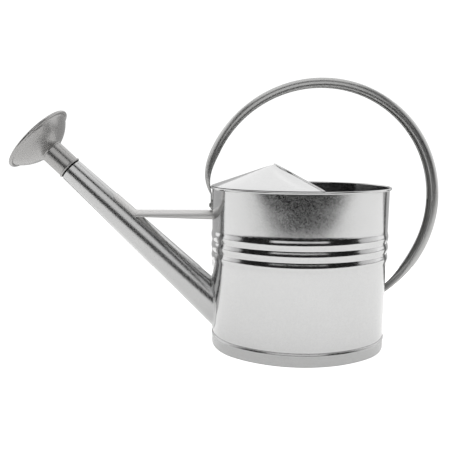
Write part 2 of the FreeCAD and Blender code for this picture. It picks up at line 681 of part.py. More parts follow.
# ---- rivets ----
def placed_on_wall(shape, side, height):
    """Moves a turned piece, drawn with the wall's outside at z = 0, to an end of the body."""
    placed = shape.copy()
    placed.Placement = FreeCAD.Placement(
        V(side * BODY_HALF_LENGTH, 0, height), FreeCAD.Rotation(UP, V(side, 0, 0))
    )
    return placed


def rivet(stack, side, height):
    """A domed rivet whose head lies on a stack of sheets outside the wall."""
    tail = -WALL_SHEET - 2 * LAP_GAP - WASHER_SHEET
    head_half = RIVET_HEAD_RADIUS * math.sqrt(0.5)
    crown = stack + RIVET_HEAD_HEIGHT
    steps = [
        (RIVET_TAIL_RADIUS, tail - RIVET_TAIL_HEIGHT),
        (RIVET_TAIL_RADIUS, tail),
        (RIVET_RADIUS, tail),
        (RIVET_RADIUS, stack),
        (RIVET_HEAD_RADIUS, stack),
        ((head_half, crown - RIVET_HEAD_HEIGHT * (1 - math.sqrt(0.5))), (RIVET_FLAT, crown)),
        (0.0, crown),
    ]
    return placed_on_wall(turned(outline((0.0, tail - RIVET_TAIL_HEIGHT), steps)), side, height)


def rivet_washer(side, height):
    inner = RIVET_RADIUS + LAP_GAP
    top = -WALL_SHEET - LAP_GAP
    section = outline((inner, top), [
        (WASHER_RADIUS, top), (WASHER_RADIUS, top - WASHER_SHEET), (inner, top - WASHER_SHEET),
    ])
    washer = placed_on_wall(turned(section), side, height)
    return washer.common(oval_prism(-WALL_SHEET, 0, BODY_HEIGHT))


def handle_rivet_front():
    return rivet(FRONT_TAB_INSIDE + TAB_SHEET + LAP_GAP, -1, FRONT_RIVET_HEIGHT)


def handle_rivet_rear():
    return rivet(LAP_GAP + TAB_SHEET + LAP_GAP, 1, REAR_RIVET_HEIGHT)


def rivet_washer_front():
    return rivet_washer(-1, FRONT_RIVET_HEIGHT)


def rivet_washer_rear():
    return rivet_washer(1, REAR_RIVET_HEIGHT)


PIECES = (
    wall_shell, rim_wire, foot_hoop, base_plate, splash_hood, hood_hem_wire,
    spout_tube, spout_collar, spout_brace, handle_hoop,
    handle_rivet_front, handle_rivet_rear, rivet_washer_front, rivet_washer_rear,
    rose_neck, rose_cone, rose_face, rose_seal,
)

os.makedirs("parts", exist_ok=True)
for make in PIECES:
    piece = make()
    piece.exportStep("parts/" + make.__name__ + ".step")
    print(make.__name__, len(piece.Solids), "solid", "valid" if piece.isValid() else "NOT VALID")
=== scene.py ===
"""Looks of the oval galvanised watering can, laid out as an add-on.

Each group of pieces has its sizes in a property group and is built by its own operator. The
origin is the middle of the body on the floor, the spout points towards -X and +Z is up.
Lengths are metres, and every mesh is drawn in place, in the frame's own coordinates.
"""

import math

import bmesh
import bpy
from bpy.props import FloatProperty, IntProperty, PointerProperty
from mathutils import Matrix, Vector


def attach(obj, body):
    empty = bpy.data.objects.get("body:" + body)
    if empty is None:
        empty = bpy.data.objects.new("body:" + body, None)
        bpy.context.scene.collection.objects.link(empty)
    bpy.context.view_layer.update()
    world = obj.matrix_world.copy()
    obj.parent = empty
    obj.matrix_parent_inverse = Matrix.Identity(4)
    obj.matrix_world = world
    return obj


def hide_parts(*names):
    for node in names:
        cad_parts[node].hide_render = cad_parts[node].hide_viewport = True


bl_info = {
    "name": "Watering can",
    "version": (1, 0, 0),
    "blender": (4, 5, 0),
    "location": "View3D > Sidebar > Watering can",
    "description": "Builds the looks of a galvanised watering can",
    "category": "Add Mesh",
}

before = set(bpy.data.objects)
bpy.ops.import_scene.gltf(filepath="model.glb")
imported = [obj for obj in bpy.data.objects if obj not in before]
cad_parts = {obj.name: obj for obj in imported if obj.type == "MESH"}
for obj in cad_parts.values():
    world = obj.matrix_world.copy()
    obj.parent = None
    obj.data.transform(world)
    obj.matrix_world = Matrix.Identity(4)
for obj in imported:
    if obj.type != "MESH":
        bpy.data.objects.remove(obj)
GAP = 0.00005  # between sheets that are soldered or riveted together
RIVET_SHANK = 0.002  # radius of a rivet where it goes through the wall


# ---- property helpers ----
def length(name, text, value):
    return FloatProperty(name=name, description=text, default=value, precision=5, unit="LENGTH")


def angle(name, text, degrees):
    return FloatProperty(name=name, description=text, default=math.radians(degrees), subtype="ANGLE")


def level(name, text, value):
    return FloatProperty(name=name, description=text, default=value)


def tally(name, text, value):
    return IntProperty(name=name, description=text, default=value)


class CanBody(bpy.types.PropertyGroup):
    half_length: length("Half length", "Middle to the outside of the wall, along X", 0.134)
    half_width: length("Half width", "Middle to the outside of the wall, along Y", 0.1)
    end_radius: length("End radius", "Radius of the oval's two ends", 0.084)
    height: length("Height", "Floor to the top of the rolled rim", 0.25)
    sheet: length("Sheet", "Thickness of the wall", 0.0007)
    wire: length("Rim wire", "Radius of the wire inside the rolled rim", 0.0011)
    beads: tally("Beads", "Pressed beads round the wall", 3)
    bead_drop: length("Bead drop", "Rim to the crest of the top bead", 0.074)
    bead_pitch: length("Bead pitch", "Crest to crest", 0.016)
    bead_height: length("Bead height", "How far a bead stands proud", 0.0014)
    seam_width: length("Seam width", "Width of the lock seam", 0.006)
    seam_proud: length("Seam thickness", "How far the lock seam stands proud", 0.0012)
    seam_turn: angle("Seam place", "Round the rear end of the oval, from +X", 52.0)
    seam_drop: length("Seam drop", "Rim to the top of the lock seam", 0.0045)
    foot_height: length("Foot height", "Height of the hoop round the foot", 0.0215)
    foot_sheet: length("Foot sheet", "Thickness of the foot hoop", 0.0008)
    foot_ledge: length("Foot ledge", "How far the hoop turns in under the wall", 0.0035)
    foot_bead: length("Foot bead", "How far the hoop's bead stands proud", 0.0011)
    foot_bead_low: length("Foot bead, low", "Lower edge of the hoop's bead", 0.0148)
    foot_bead_high: length("Foot bead, high", "Upper edge of the hoop's bead", 0.0206)
    foot_bend: length("Foot bend", "Outer radius of the bend into the ledge", 0.0026)


class CanHood(bpy.types.PropertyGroup):
    rise: length("Rise", "Rim to the peak", 0.033)
    peak_x: length("Peak", "Place of the peak along X", -0.039)
    crease_x: length("Crease", "Where the fold meets the rim, along X", -0.003)
    edge_x: length("Back edge", "Where the back edge meets the rim, along X", 0.018)
    sheet: length("Sheet", "Thickness of the hood", 0.0007)
    hem: length("Hem", "Radius of the wired back edge", 0.00165)
    fold: length("Fold", "Depth of the soft fold before the back edge", 0.0022)
    fold_swing: length("Fold swing", "How far the fold bows away from the back edge", 0.006)
    fold_width: length("Fold width", "Half width of the soft fold", 0.0095)


class CanSpout(bpy.types.PropertyGroup):
    root_height: length("Root height", "Axis at the wall, above the floor", 0.0683)
    slope: angle("Slope", "Of the axis, above the floor", 43.85)
    length: length("Length", "Wall to the shoulder, along the axis", 0.297)
    root: length("Root radius", "Outside radius at the wall", 0.028)
    nose: length("Nose radius", "Outside radius at the shoulder", 0.0176)
    tip: length("Tip radius", "Outside radius of the tube that takes the rose", 0.01574)
    tip_end: length("Tip end", "Wall to the end of the tube", 0.3224)
    sheet: length("Sheet", "Thickness of the spout", 0.0007)
    seam: angle("Seam width", "Width of the lengthwise seam underneath", 14.0)
    collar: length("Collar", "Width of the soldered flange at the root", 0.0045)


class CanRose(bpy.types.PropertyGroup):
    mouth: length("Mouth", "Wall to the mouth of the neck, along the spout", 0.2994)
    neck: length("Neck radius", "Outside radius of the neck", 0.0178)
    neck_length: length("Neck length", "Length of the neck", 0.041)
    bead: length("Neck bead", "Radius of the bead at the neck's mouth", 0.0016)
    cone_start: length("Back start", "Neck's mouth to the small end of the back", 0.038)
    cone_depth: length("Back depth", "Depth of the rose's back", 0.0265)
    cone_radius: length("Back radius", "Large end of the rose's back", 0.055)
    bulge: length("Bulge", "How far the back swells", 0.004)
    face: length("Face radius", "Outside of the folded rim", 0.0572)
    hem: length("Hem", "Radius of the face's rolled rim", 0.0025)
    dome: length("Dome", "Height of the perforated face", 0.007)
    sheet: length("Sheet", "Thickness of the rose", 0.0007)
    hole: length("Hole radius", "Radius of a hole in the face", 0.0008)
    punch: length("Punch length", "Length of the punch that makes a hole", 0.006)
    pitch: length("Hole pitch", "Ring to ring", 0.0082)
    rings: tally("Rings", "Rings of holes round the middle one", 5)


class CanHandle(bpy.types.PropertyGroup):
    radius: length("Hoop radius", "Outside radius of the hoop", 0.1825)
    centre_x: length("Centre X", "Hoop's centre, behind the body's middle", 0.0298)
    centre_z: length("Centre Z", "Hoop's centre, above the floor", 0.2278)
    width: length("Width", "Width of the channel", 0.019)
    depth: length("Depth", "Depth of the channel", 0.014)
    sheet: length("Sheet", "Thickness of the channel", 0.001)
    lip: length("Lip", "Radius of the channel's rolled edges", 0.0015)
    top_end: angle("Top end", "Where the plain hoop ends, from +X", 155.0)
    lip_start: angle("Lip start", "Where the rolled edges begin, from +X", -53.0)
    rear_flat: level("Rear flattening", "Share of the depth lost at the rear end", 0.6)
    rear_inset: length("Rear inset", "How far a fully flattened end would sit inside the hoop", 0.0042)
    swing: length("Swing", "How far the strap swings out before the wall", 0.014)
    strap_end: length("Strap end", "Height where the strap comes to the wall", 0.237)
    tab_width: length("Tab width", "Width of the flattened ends", 0.017)
    tab_sheet: length("Tab sheet", "Thickness of the flattened ends", 0.0014)
    tab_corner: length("Tab corner", "Radius of the flattened ends' corners", 0.004)
    front_low: length("Front tab", "Lower end of the front tab", 0.214)
    rear_low: length("Rear tab, low", "Lower end of the rear tab", 0.05585)
    rear_high: length("Rear tab, high", "Upper end of the rear tab", 0.083)
    rivet_front: length("Front rivet", "Height of the front rivet", 0.22)
    rivet_rear: length("Rear rivet", "Height of the rear rivet", 0.07085)
    head: length("Rivet head", "Radius of a rivet's head", 0.004)
    head_height: length("Rivet head height", "Height of a rivet's head", 0.0024)


class CanBrace(bpy.types.PropertyGroup):
    top: length("Top", "Height of the strut's top", 0.2126)
    width: length("Width", "Width of the strut", 0.03)
    sheet: length("Sheet", "Thickness of the strut", 0.001)
    depth_wall: length("Depth at wall", "Depth of the channel at the wall", 0.0125)
    depth_spout: length("Depth at spout", "Depth of the channel at the spout", 0.009)
    spout_x: length("Spout end", "Where the depth at the spout is reached, along X", -0.2611)
    tab_top: length("Tab top", "Upper end of the tab on the wall", 0.228)
    tab_overlap: length("Tab overlap", "How far the tab reaches down past the strut's top", 0.002)
    tab_width: length("Tab width", "Width of the tab on the wall", 0.017)
    tab_corner: length("Tab corner", "Radius of the tab's corners", 0.003)
    tongue_start: length("Tongue start", "Wall to the tongue, along the spout", 0.179)
    tongue_end: length("Tongue end", "Wall to the tongue's tip, along the spout", 0.2225)
    tongue_half: angle("Tongue half width", "Each side of the spout's top", 44.0)
    tongue_corner: length("Tongue corner", "Radius of the tongue's corners", 0.006)


class CanStage(bpy.types.PropertyGroup):
    floor_front: length("Floor front", "Where the floor ends in front of the can", 1.05)
    floor_back: length("Floor back", "Where the floor ends behind the can", 0.5)
    floor_half: length("Floor half width", "Middle to the floor's sides", 2.2)
    floor_glow: level("Floor glow", "Light that comes through the floor", 0.44)
    seen_glow: level("Seen glow", "Extra light of the floor towards the camera", 0.55)
    room: level("Room", "Brightness of the room in front of the can", 0.015)
    room_back: level("Room behind", "Brightness of the room behind the can", 0.55)
    backdrop: level("Backdrop", "Brightness of the background towards the camera", 1.1)
    focal: level("Lens", "Focal length in millimetres", 40.3)


GROUPS = {
    "can_body": CanBody, "can_hood": CanHood, "can_spout": CanSpout, "can_rose": CanRose,
    "can_handle": CanHandle, "can_brace": CanBrace, "can_stage": CanStage,
}


# ---- colours and nodes ----
CLOUD_SCALE = 14.0  # clouds in the zinc, about 70 mm across
WAVE_SCALE = 22.0  # waves of hand-worked sheet, about 45 mm across
MOTTLE_SCALE = 60.0  # mottling of paper and rubber, about 17 mm across
SPECK_DEPTH = 0.00003  # of the specks in the zinc, in metres


def linear(colour):
    """Turns an sRGB hex colour into a linear RGBA tuple."""
    parts = [int(colour[i:i + 2], 16) / 255 for i in (1, 3, 5)]
    return tuple(c / 12.92 if c <= 0.04045 else ((c + 0.055) / 1.055) ** 2.4 for c in parts) + (1.0,)


def node(tree, kind, inputs=None, **settings):
    """Adds a node, sets its own settings, and links or sets the inputs given by name or number."""
    made = tree.nodes.new(kind)
    for name, value in settings.items():
        setattr(made, name, value)
    for key, value in (inputs or {}).items():
        socket = made.inputs[key]
        if isinstance(value, bpy.types.NodeSocket):
            tree.links.new(value, socket)
        else:
            socket.default_value = value
    return made


def maths(tree, operation, first, second=0.0):
    return node(tree, "ShaderNodeMath", {0: first, 1: second}, operation=operation).outputs[0]


def spread(tree, value, low, high, to_low, to_high):
    """Maps a value from one range to another."""
    inputs = {"Value": value, "From Min": low, "From Max": high, "To Min": to_low, "To Max": to_high}
    return node(tree, "ShaderNodeMapRange", inputs).outputs["Result"]


def metal(name, colour, dull, rough, grain, dent=0.0):
    """A metal whose zinc crystals are `grain` metres across.

    `dull` is how much darker the darkest crystal is, `rough` the roughness range, and `dent`
    the depth in metres of the broad waves that hand-worked sheet has.
    """
    made = bpy.data.materials.new(name)
    made.use_nodes = True
    tree = made.node_tree
    shader = tree.nodes["Principled BSDF"]
    place = node(tree, "ShaderNodeTexCoord").outputs["Object"]
    crystal = node(tree, "ShaderNodeTexVoronoi", {"Vector": place, "Scale": 1 / grain})
    tone = node(tree, "ShaderNodeSeparateColor", {"Color": crystal.outputs["Color"]}).outputs[0]
    speck, cloud, wave = (
        node(tree, "ShaderNodeTexNoise", {"Vector": place, "Scale": scale, "Detail": detail}).outputs["Fac"]
        for scale, detail in ((4 / grain, 2.0), (CLOUD_SCALE, 3.0), (WAVE_SCALE, 1.0))
    )
    mixed = maths(tree, "ADD", maths(tree, "MULTIPLY", tone, 0.45), maths(tree, "MULTIPLY", cloud, 0.55))
    bright = linear(colour)
    dark = tuple(channel * (1 - dull) for channel in bright[:3]) + (1.0,)
    shade = node(tree, "ShaderNodeMix", {"Factor": mixed, 6: dark, 7: bright}, data_type="RGBA")
    tree.links.new(shade.outputs[2], shader.inputs["Base Color"])
    rub = maths(tree, "ADD", maths(tree, "MULTIPLY", tone, 0.5), maths(tree, "MULTIPLY", speck, 0.5))
    tree.links.new(spread(tree, rub, 0.2, 0.8, rough[0], rough[1]), shader.inputs["Roughness"])
    shader.inputs["Metallic"].default_value = 1.0
    fine = node(tree, "ShaderNodeBump", {"Height": speck, "Strength": 0.35, "Distance": SPECK_DEPTH})
    broad = node(tree, "ShaderNodeBump", {
        "Height": wave, "Strength": 1.0, "Distance": dent, "Normal": fine.outputs["Normal"],
    })
    tree.links.new(broad.outputs["Normal"], shader.inputs["Normal"])
    return made


def plain(name, colour, rough, sheen=0.0):
    """A matt, non-metal material with a slightly uneven colour and gloss."""
    made = bpy.data.materials.new(name)
    made.use_nodes = True
    tree = made.node_tree
    shader = tree.nodes["Principled BSDF"]
    place = node(tree, "ShaderNodeTexCoord").outputs["Object"]
    noise = node(tree, "ShaderNodeTexNoise", {"Vector": place, "Scale": MOTTLE_SCALE, "Detail": 4.0})
    grain = noise.outputs["Fac"]
    ramp = node(tree, "ShaderNodeValToRGB", {"Fac": grain})
    base = linear(colour)
    ramp.color_ramp.elements[0].color = tuple(c * 0.97 for c in base[:3]) + (1.0,)
    ramp.color_ramp.elements[1].color = base
    tree.links.new(ramp.outputs["Color"], shader.inputs["Base Color"])
    tree.links.new(spread(tree, grain, 0.3, 0.7, rough - 0.04, rough + 0.04), shader.inputs["Roughness"])
    shader.inputs["Sheen Weight"].default_value = sheen
    return made


def finishes():
    """Every material of the can, made once and found again by name."""
    if "Galvanised sheet" not in bpy.data.materials:
        # Bright zinc with faint crystals: broad soft reflections, speckled where they are dark.
        metal("Galvanised sheet", "#cecece", 0.12, (0.09, 0.17), 0.0016, 0.00025)
        # The same zinc, duller and greyer, on the spout and on the hoop round the foot.
        metal("Galvanised spout", "#bfbfbf", 0.10, (0.19, 0.28), 0.0014, 0.00012)
        # Thin strip of the brace: rougher, so that it stays an even light grey.
        metal("Galvanised strip", "#cecdcc", 0.10, (0.36, 0.46), 0.0012, 0.00008)
        # Thicker strip, dipped later: darker and greyer than the sheet.
        metal("Dipped steel strip", "#b2b2b1", 0.10, (0.26, 0.36), 0.0008, 0.00008)
        # Drawn wire, hardly seen inside the rim and the hem.
        metal("Drawn steel wire", "#9d9d9c", 0.10, (0.25, 0.35), 0.0008)
        # Rivet heads, dulled by the hammer.
        metal("Dull rivet steel", "#8f8f8e", 0.20, (0.30, 0.42), 0.0008)
        # Spun sheet of the rose: slightly greyer, with finer crystals.
        metal("Spun rose sheet", "#abaaa9", 0.18, (0.24, 0.36), 0.0010, 0.00012)
        # Black moulded rubber with a dull bloom.
        plain("Black rubber", "#1b1b1c", 0.62, 0.1)
    return bpy.data.materials


# ---- mesh helpers ----
# A rod's rounded end: share of the radius, and the push along the rod in radii.
CAP = ((0.75, 0.66), (0.3, 0.95))


def round_turns(steps):
    """Angles evenly spaced round a whole turn."""
    return [2 * math.pi * step / steps for step in range(steps)]


def spoke(turn, radius=1.0, height=0.0):
    """The point at that angle round Z."""
    return Vector((radius * math.cos(turn), radius * math.sin(turn), height))


def skin(rings, around=True, along=False):
    """Faces between neighbouring rings. `around` closes each ring, `along` joins last to first."""
    count = len(rings[0])
    faces = []
    for i in range(len(rings) if along else len(rings) - 1):
        j = (i + 1) % len(rings)
        for k in range(count if around else count - 1):
            m = (k + 1) % count
            faces.append((i * count + k, i * count + m, j * count + m, j * count + k))
    if around and not along:
        faces.append(tuple(range(count)))
        faces.append(tuple(range((len(rings) - 1) * count, len(rings) * count)))
    return [point for ring in rings for point in ring], faces


def lathe(outline, steps=96, place=None):
    """Turns a closed outline of (radius, height) points round Z and then puts it in place."""
    rings = [[spoke(turn, r, z) for r, z in outline] for turn in round_turns(steps)]
    points, faces = skin(rings, along=True)
    if place is not None:
        points = [place @ point for point in points]
    return points, faces


def tube(path, radii, steps=16, flat=None):
    """A round rod along a path, with a rounded cap at each end. `flat` is the lowest Z allowed."""
    rings = []
    last = len(path) - 1
    for i, point in enumerate(path):
        way = (path[min(i + 1, last)] - path[max(i - 1, 0)]).normalized()
        side = way.cross(Vector((0, 0, 1)))
        side = side.normalized() if side.length > 1e-6 else Vector((0, 1, 0))
        up = side.cross(way)
        before = [(share, -push) for share, push in reversed(CAP)] if i == 0 else []
        after = list(CAP) if i == last else []
        for share, push in before + [(1.0, 0.0)] + after:
            ring = []
            for turn in round_turns(steps):
                spot = side * math.cos(turn) + up * math.sin(turn)
                spot = point + way * (push * radii[i]) + spot * (share * radii[i])
                if flat is not None:
                    spot.z = max(spot.z, flat)
                ring.append(spot)
            rings.append(ring)
    return skin(rings)


def arc_through(start, middle, end, steps):
    """Points of the arc from start to end through middle, without its first point."""
    (ax, ay), (bx, by), (cx, cy) = start, middle, end
    d = 2 * (ax * (by - cy) + bx * (cy - ay) + cx * (ay - by))
    a, b, c = ax * ax + ay * ay, bx * bx + by * by, cx * cx + cy * cy
    x = (a * (by - cy) + b * (cy - ay) + c * (ay - by)) / d
    y = (a * (cx - bx) + b * (ax - cx) + c * (bx - ax)) / d
    first = math.atan2(ay - y, ax - x)
    half = (math.atan2(by - y, bx - x) - first + math.pi) % (2 * math.pi) - math.pi
    whole = (math.atan2(cy - y, cx - x) - first) % (2 * math.pi)
    if half < 0:
        whole -= 2 * math.pi
    radius = math.hypot(ax - x, ay - y)
    turns = [first + whole * (i + 1) / steps for i in range(steps)]
    return [(x + radius * math.cos(t), y + radius * math.sin(t)) for t in turns]


def round_arc(x, y, radius, first, last, steps):
    """Points of an arc given by its centre and two angles in degrees, with both its ends."""
    turns = [math.radians(first + (last - first) * i / steps) for i in range(steps + 1)]
    return [(x + radius * math.cos(t), y + radius * math.sin(t)) for t in turns]


def crossing(test, low, high):
    """Where test changes sign between low and high."""
    sign = test(low) > 0
    for _ in range(40):
        middle = (low + high) / 2
        if (test(middle) > 0) == sign:
            low = middle
        else:
            high = middle
    return (low + high) / 2


def mesh_of(name, parts):
    """One mesh from several (points, faces) parts, with poles welded and normals outward."""
    mesh = bpy.data.meshes.new(name)
    points = []
    faces = []
    for part_points, part_faces in parts:
        shift = len(points)
        points += [tuple(point) for point in part_points]
        faces += [tuple(i + shift for i in face) for face in part_faces]
    mesh.from_pydata(points, [], faces)
    work = bmesh.new()
    work.from_mesh(mesh)
    bmesh.ops.remove_doubles(work, verts=work.verts, dist=1e-7)
    bmesh.ops.dissolve_degenerate(work, edges=work.edges, dist=1e-8)
    bmesh.ops.recalc_face_normals(work, faces=work.faces)
    work.to_mesh(mesh)
    work.free()
    return mesh


def finished(made, material, crease=32.0):
    """Smooth shading with sharp folds, and the finish on every face."""
    mesh = made.data
    mesh.materials.clear()
    mesh.materials.append(finishes()[material])
    mesh.polygons.foreach_set("material_index", [0] * len(mesh.polygons))
    mesh.shade_smooth()
    mesh.set_sharp_from_angle(angle=math.radians(crease))
    return made


def placed(name, mesh):
    made = bpy.data.objects.new(name, mesh)
    bpy.context.scene.collection.objects.link(made)
    return made


def baked(made):
    """Replaces an object's mesh by what its modifiers give, and takes the modifiers off."""
    graph = bpy.context.evaluated_depsgraph_get()
    mesh = bpy.data.meshes.new_from_object(made.evaluated_get(graph))
    made.modifiers.clear()
    made.data = mesh
    work = bmesh.new()
    work.from_mesh(mesh)
    bmesh.ops.recalc_face_normals(work, faces=work.faces)
    work.to_mesh(mesh)
    work.free()
    return made


def softened(made, width):
    """Rounds the sharp edges of a cut sheet."""
    edge = made.modifiers.new("Cut edge", "BEVEL")
    edge.width = width
    edge.segments = 2
    edge.limit_method = "ANGLE"
    edge.angle_limit = math.radians(50)
    edge.use_clamp_overlap = True
    return baked(made)


def stands_for(made, body, material_slot, *nodes):
    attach(made, body)
    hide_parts(*nodes)


def piece(name, parts, material, body, material_slot, nodes, crease=32.0, edge=0.0):
    """A finished piece that takes the place of the frame's nodes of that name."""
    made = placed(name, mesh_of(name, parts))
    if edge:
        softened(made, edge)
    finished(made, material, crease)
    stands_for(made, body, material_slot, *nodes)
    return made


# ---- the oval ----
def oval(body):
    """End radius, side radius, the end centres' X and the side centres' Y."""
    a, b, r = body.half_length, body.half_width, body.end_radius
    side = (a * a - 2 * a * r + b * b) / (2 * (b - r))
    return r, side, a - r, side - b


def oval_arcs(body):
    """The oval's four arcs as (centre, radius, first angle, last angle), anticlockwise from the rear."""
    end, side, cx, cy = oval(body)
    corner = math.atan2(cy, cx)
    return (
        (Vector((cx, 0, 0)), end, -corner, corner),
        (Vector((0, -cy, 0)), side, corner, math.pi - corner),
        (Vector((-cx, 0, 0)), end, math.pi - corner, math.pi + corner),
        (Vector((0, cy, 0)), side, math.pi + corner, 2 * math.pi - corner),
    )


def arc_points(arc, out, height, steps, first=None, last=None):
    """Points along one arc of the oval, moved outward by `out`, without the last one."""
    centre, radius, low, high = arc
    low = low if first is None else first
    high = high if last is None else last
    points = []
    for i in range(steps):
        turn = low + (high - low) * i / steps
        points.append(centre + spoke(turn, radius + out, height))
    return points


def outward(body, point):
    """How far a point lies outside the wall."""
    end, side, cx, cy = oval(body)
    x, y = abs(point.x) - cx, abs(point.y)
    if x > 0 and y * cx < x * cy:
        return math.hypot(x, y) - end
    return math.hypot(point.x, abs(point.y) + cy) - side


def wall_x(body, side, y, out):
    """X of the point on the wall's front (side -1) or rear (side 1) end at that Y, moved outward."""
    end, _, cx, _ = oval(body)
    return side * (cx + math.sqrt((end + out) ** 2 - y * y))


# ---- geometry nodes ----
def node_group(name, sockets):
    """A geometry node group with named inputs. Returns the tree, its input node and identifiers."""
    tree = bpy.data.node_groups.new(name, "GeometryNodeTree")
    tree.interface.new_socket(name="Geometry", in_out="INPUT", socket_type="NodeSocketGeometry")
    known = {}
    for label, kind in sockets.items():
        known[label] = tree.interface.new_socket(name=label, in_out="INPUT", socket_type=kind).identifier
    tree.interface.new_socket(name="Geometry", in_out="OUTPUT", socket_type="NodeSocketGeometry")
    return tree, node(tree, "NodeGroupInput"), known


def close_group(tree, solid, cutter, given):
    """Ends a group: the solid less the cutter, as real geometry with the material that was given."""
    cut = node(tree, "GeometryNodeMeshBoolean", {
        "Mesh 1": solid, "Mesh 2": cutter,
    }, operation="DIFFERENCE", solver="EXACT")
    real = node(tree, "GeometryNodeRealizeInstances", {"Geometry": cut.outputs[0]})
    dressed = node(tree, "GeometryNodeSetMaterial", {
        "Geometry": real.outputs[0], "Material": given.outputs["Material"],
    })
    node(tree, "NodeGroupOutput", {"Geometry": dressed.outputs[0]})


def sweep_group():
    """Carries a flat section round a level path, X outward and Y down, and cuts openings in it."""
    tree, given, known = node_group("Swept section", {
        "Section": "NodeSocketObject", "Cutter": "NodeSocketObject", "Material": "NodeSocketMaterial",
    })
    path = node(tree, "GeometryNodeMeshToCurve", {"Mesh": given.outputs["Geometry"]})
    level = node(tree, "GeometryNodeSetCurveNormal", {"Curve": path.outputs[0]}, mode="Z_UP")
    section = node(tree, "GeometryNodeObjectInfo", {"Object": given.outputs["Section"]})
    outline = node(tree, "GeometryNodeMeshToCurve", {"Mesh": section.outputs["Geometry"]})
    swept = node(tree, "GeometryNodeCurveToMesh", {
        "Curve": level.outputs[0], "Profile Curve": outline.outputs[0],
    })
    cutter = node(tree, "GeometryNodeObjectInfo", {"Object": given.outputs["Cutter"]})
    close_group(tree, swept.outputs[0], cutter.outputs["Geometry"], given)
    return tree, known


def hole_group():
    """Perforates a dome: one hole in the middle, and rings with six more holes each time."""
    tree, given, known = node_group("Ringed holes", {
        "Pitch": "NodeSocketFloat", "Count": "NodeSocketInt", "Hole radius": "NodeSocketFloat",
        "Ball radius": "NodeSocketFloat", "Ball centre": "NodeSocketFloat", "Depth": "NodeSocketFloat",
        "Material": "NodeSocketMaterial",
    })
    index = node(tree, "GeometryNodeInputIndex").outputs[0]
    square = node(tree, "ShaderNodeMath", {0: index, 1: 12.0, 2: 9.0}, operation="MULTIPLY_ADD")
    root = maths(tree, "SQRT", square.outputs[0])
    ring = maths(tree, "CEIL", maths(tree, "DIVIDE", maths(tree, "SUBTRACT", root, 3.0), 6.0))
    ring = maths(tree, "MAXIMUM", ring, 0.0)
    before = maths(tree, "MULTIPLY", maths(tree, "MULTIPLY", ring, maths(tree, "SUBTRACT", ring, 1.0)), 3.0)
    number = maths(tree, "SUBTRACT", index, maths(tree, "ADD", before, 1.0))
    share = maths(tree, "DIVIDE", number, maths(tree, "MULTIPLY", maths(tree, "MAXIMUM", ring, 1.0), 6.0))
    turn = maths(tree, "MULTIPLY", share, 2 * math.pi)
    reach = maths(tree, "MULTIPLY", ring, given.outputs["Pitch"])
    tilt = maths(tree, "ARCSINE", maths(tree, "DIVIDE", reach, given.outputs["Ball radius"]))
    sine = maths(tree, "SINE", tilt)
    way = node(tree, "ShaderNodeCombineXYZ", {
        "X": maths(tree, "MULTIPLY", sine, maths(tree, "COSINE", turn)),
        "Y": maths(tree, "MULTIPLY", sine, maths(tree, "SINE", turn)),
        "Z": maths(tree, "COSINE", tilt),
    }).outputs[0]
    out = node(tree, "ShaderNodeVectorMath", {
        0: way, "Scale": given.outputs["Ball radius"],
    }, operation="SCALE").outputs[0]
    lift = node(tree, "ShaderNodeCombineXYZ", {"Z": given.outputs["Ball centre"]}).outputs[0]
    spot = node(tree, "ShaderNodeVectorMath", {0: out, 1: lift}, operation="ADD").outputs[0]
    points = node(tree, "GeometryNodePoints", {"Count": given.outputs["Count"], "Position": spot})
    punch = node(tree, "GeometryNodeMeshCylinder", {
        "Vertices": 12, "Radius": given.outputs["Hole radius"], "Depth": given.outputs["Depth"],
    })
    aim = node(tree, "FunctionNodeAlignRotationToVector", {"Vector": way}, axis="Z")
    punches = node(tree, "GeometryNodeInstanceOnPoints", {
        "Points": points.outputs[0], "Instance": punch.outputs[0], "Rotation": aim.outputs[0],
    })
    loose = node(tree, "GeometryNodeRealizeInstances", {"Geometry": punches.outputs[0]})
    close_group(tree, given.outputs["Geometry"], loose.outputs[0], given)
    return tree, known


def apply_group(made, group, values):
    """Runs a node group on an object with the given inputs and bakes the result."""
    tree, known = group
    modifier = made.modifiers.new(tree.name, "NODES")
    modifier.node_group = tree
    for label, value in values.items():
        modifier[known[label]] = value
    return baked(made)


def swept_round_body(name, section, material, cutters=()):
    """A section carried round the oval, given as (outward, height) points."""
    body = bpy.context.scene.can_body
    path = []
    for arc, steps in zip(oval_arcs(body), (72, 96, 72, 96)):
        path += arc_points(arc, 0.0, 0.0, steps)
    count = len(path)
    ring = bpy.data.meshes.new(name)
    ring.from_pydata([tuple(p) for p in path], [(i, (i + 1) % count) for i in range(count)], [])
    made = placed(name, ring)
    flat = bpy.data.meshes.new(name + " section")
    count = len(section)
    edges = [(i, (i + 1) % count) for i in range(count)]
    flat.from_pydata([(out, -height, 0) for out, height in section], edges, [])
    helper = placed(name + " section", flat)
    cutter = placed(name + " cutter", mesh_of(name + " cutter", list(cutters)))
    apply_group(made, sweep_group(), {"Section": helper, "Cutter": cutter, "Material": finishes()[material]})
    bpy.data.objects.remove(helper)
    bpy.data.objects.remove(cutter)
    return finished(made, material)


# ---- frames ----
def spout_frame(spout):
    """Takes Z to the spout's axis, with the origin at its root and X on its upper side."""
    body = bpy.context.scene.can_body
    axis = Vector((-math.cos(spout.slope), 0, math.sin(spout.slope)))
    top = Vector((math.sin(spout.slope), 0, math.cos(spout.slope)))
    side = axis.cross(top)
    frame = Matrix((top, side, axis)).transposed().to_4x4()
    frame.translation = (-body.half_length, 0, spout.root_height)
    return frame


def spout_radius(spout, along):
    return spout.root - (spout.root - spout.nose) * along / spout.length


def rod(radius, start, end, steps=64):
    """A plain solid cylinder between two points, used to cut openings."""
    way = (end - start).normalized()
    side = way.orthogonal().normalized()
    other = way.cross(side)
    rings = []
    for centre in (start, end):
        rings.append([
            centre + side * (radius * math.cos(turn)) + other * (radius * math.sin(turn))
            for turn in round_turns(steps)
        ])
    return skin(rings)


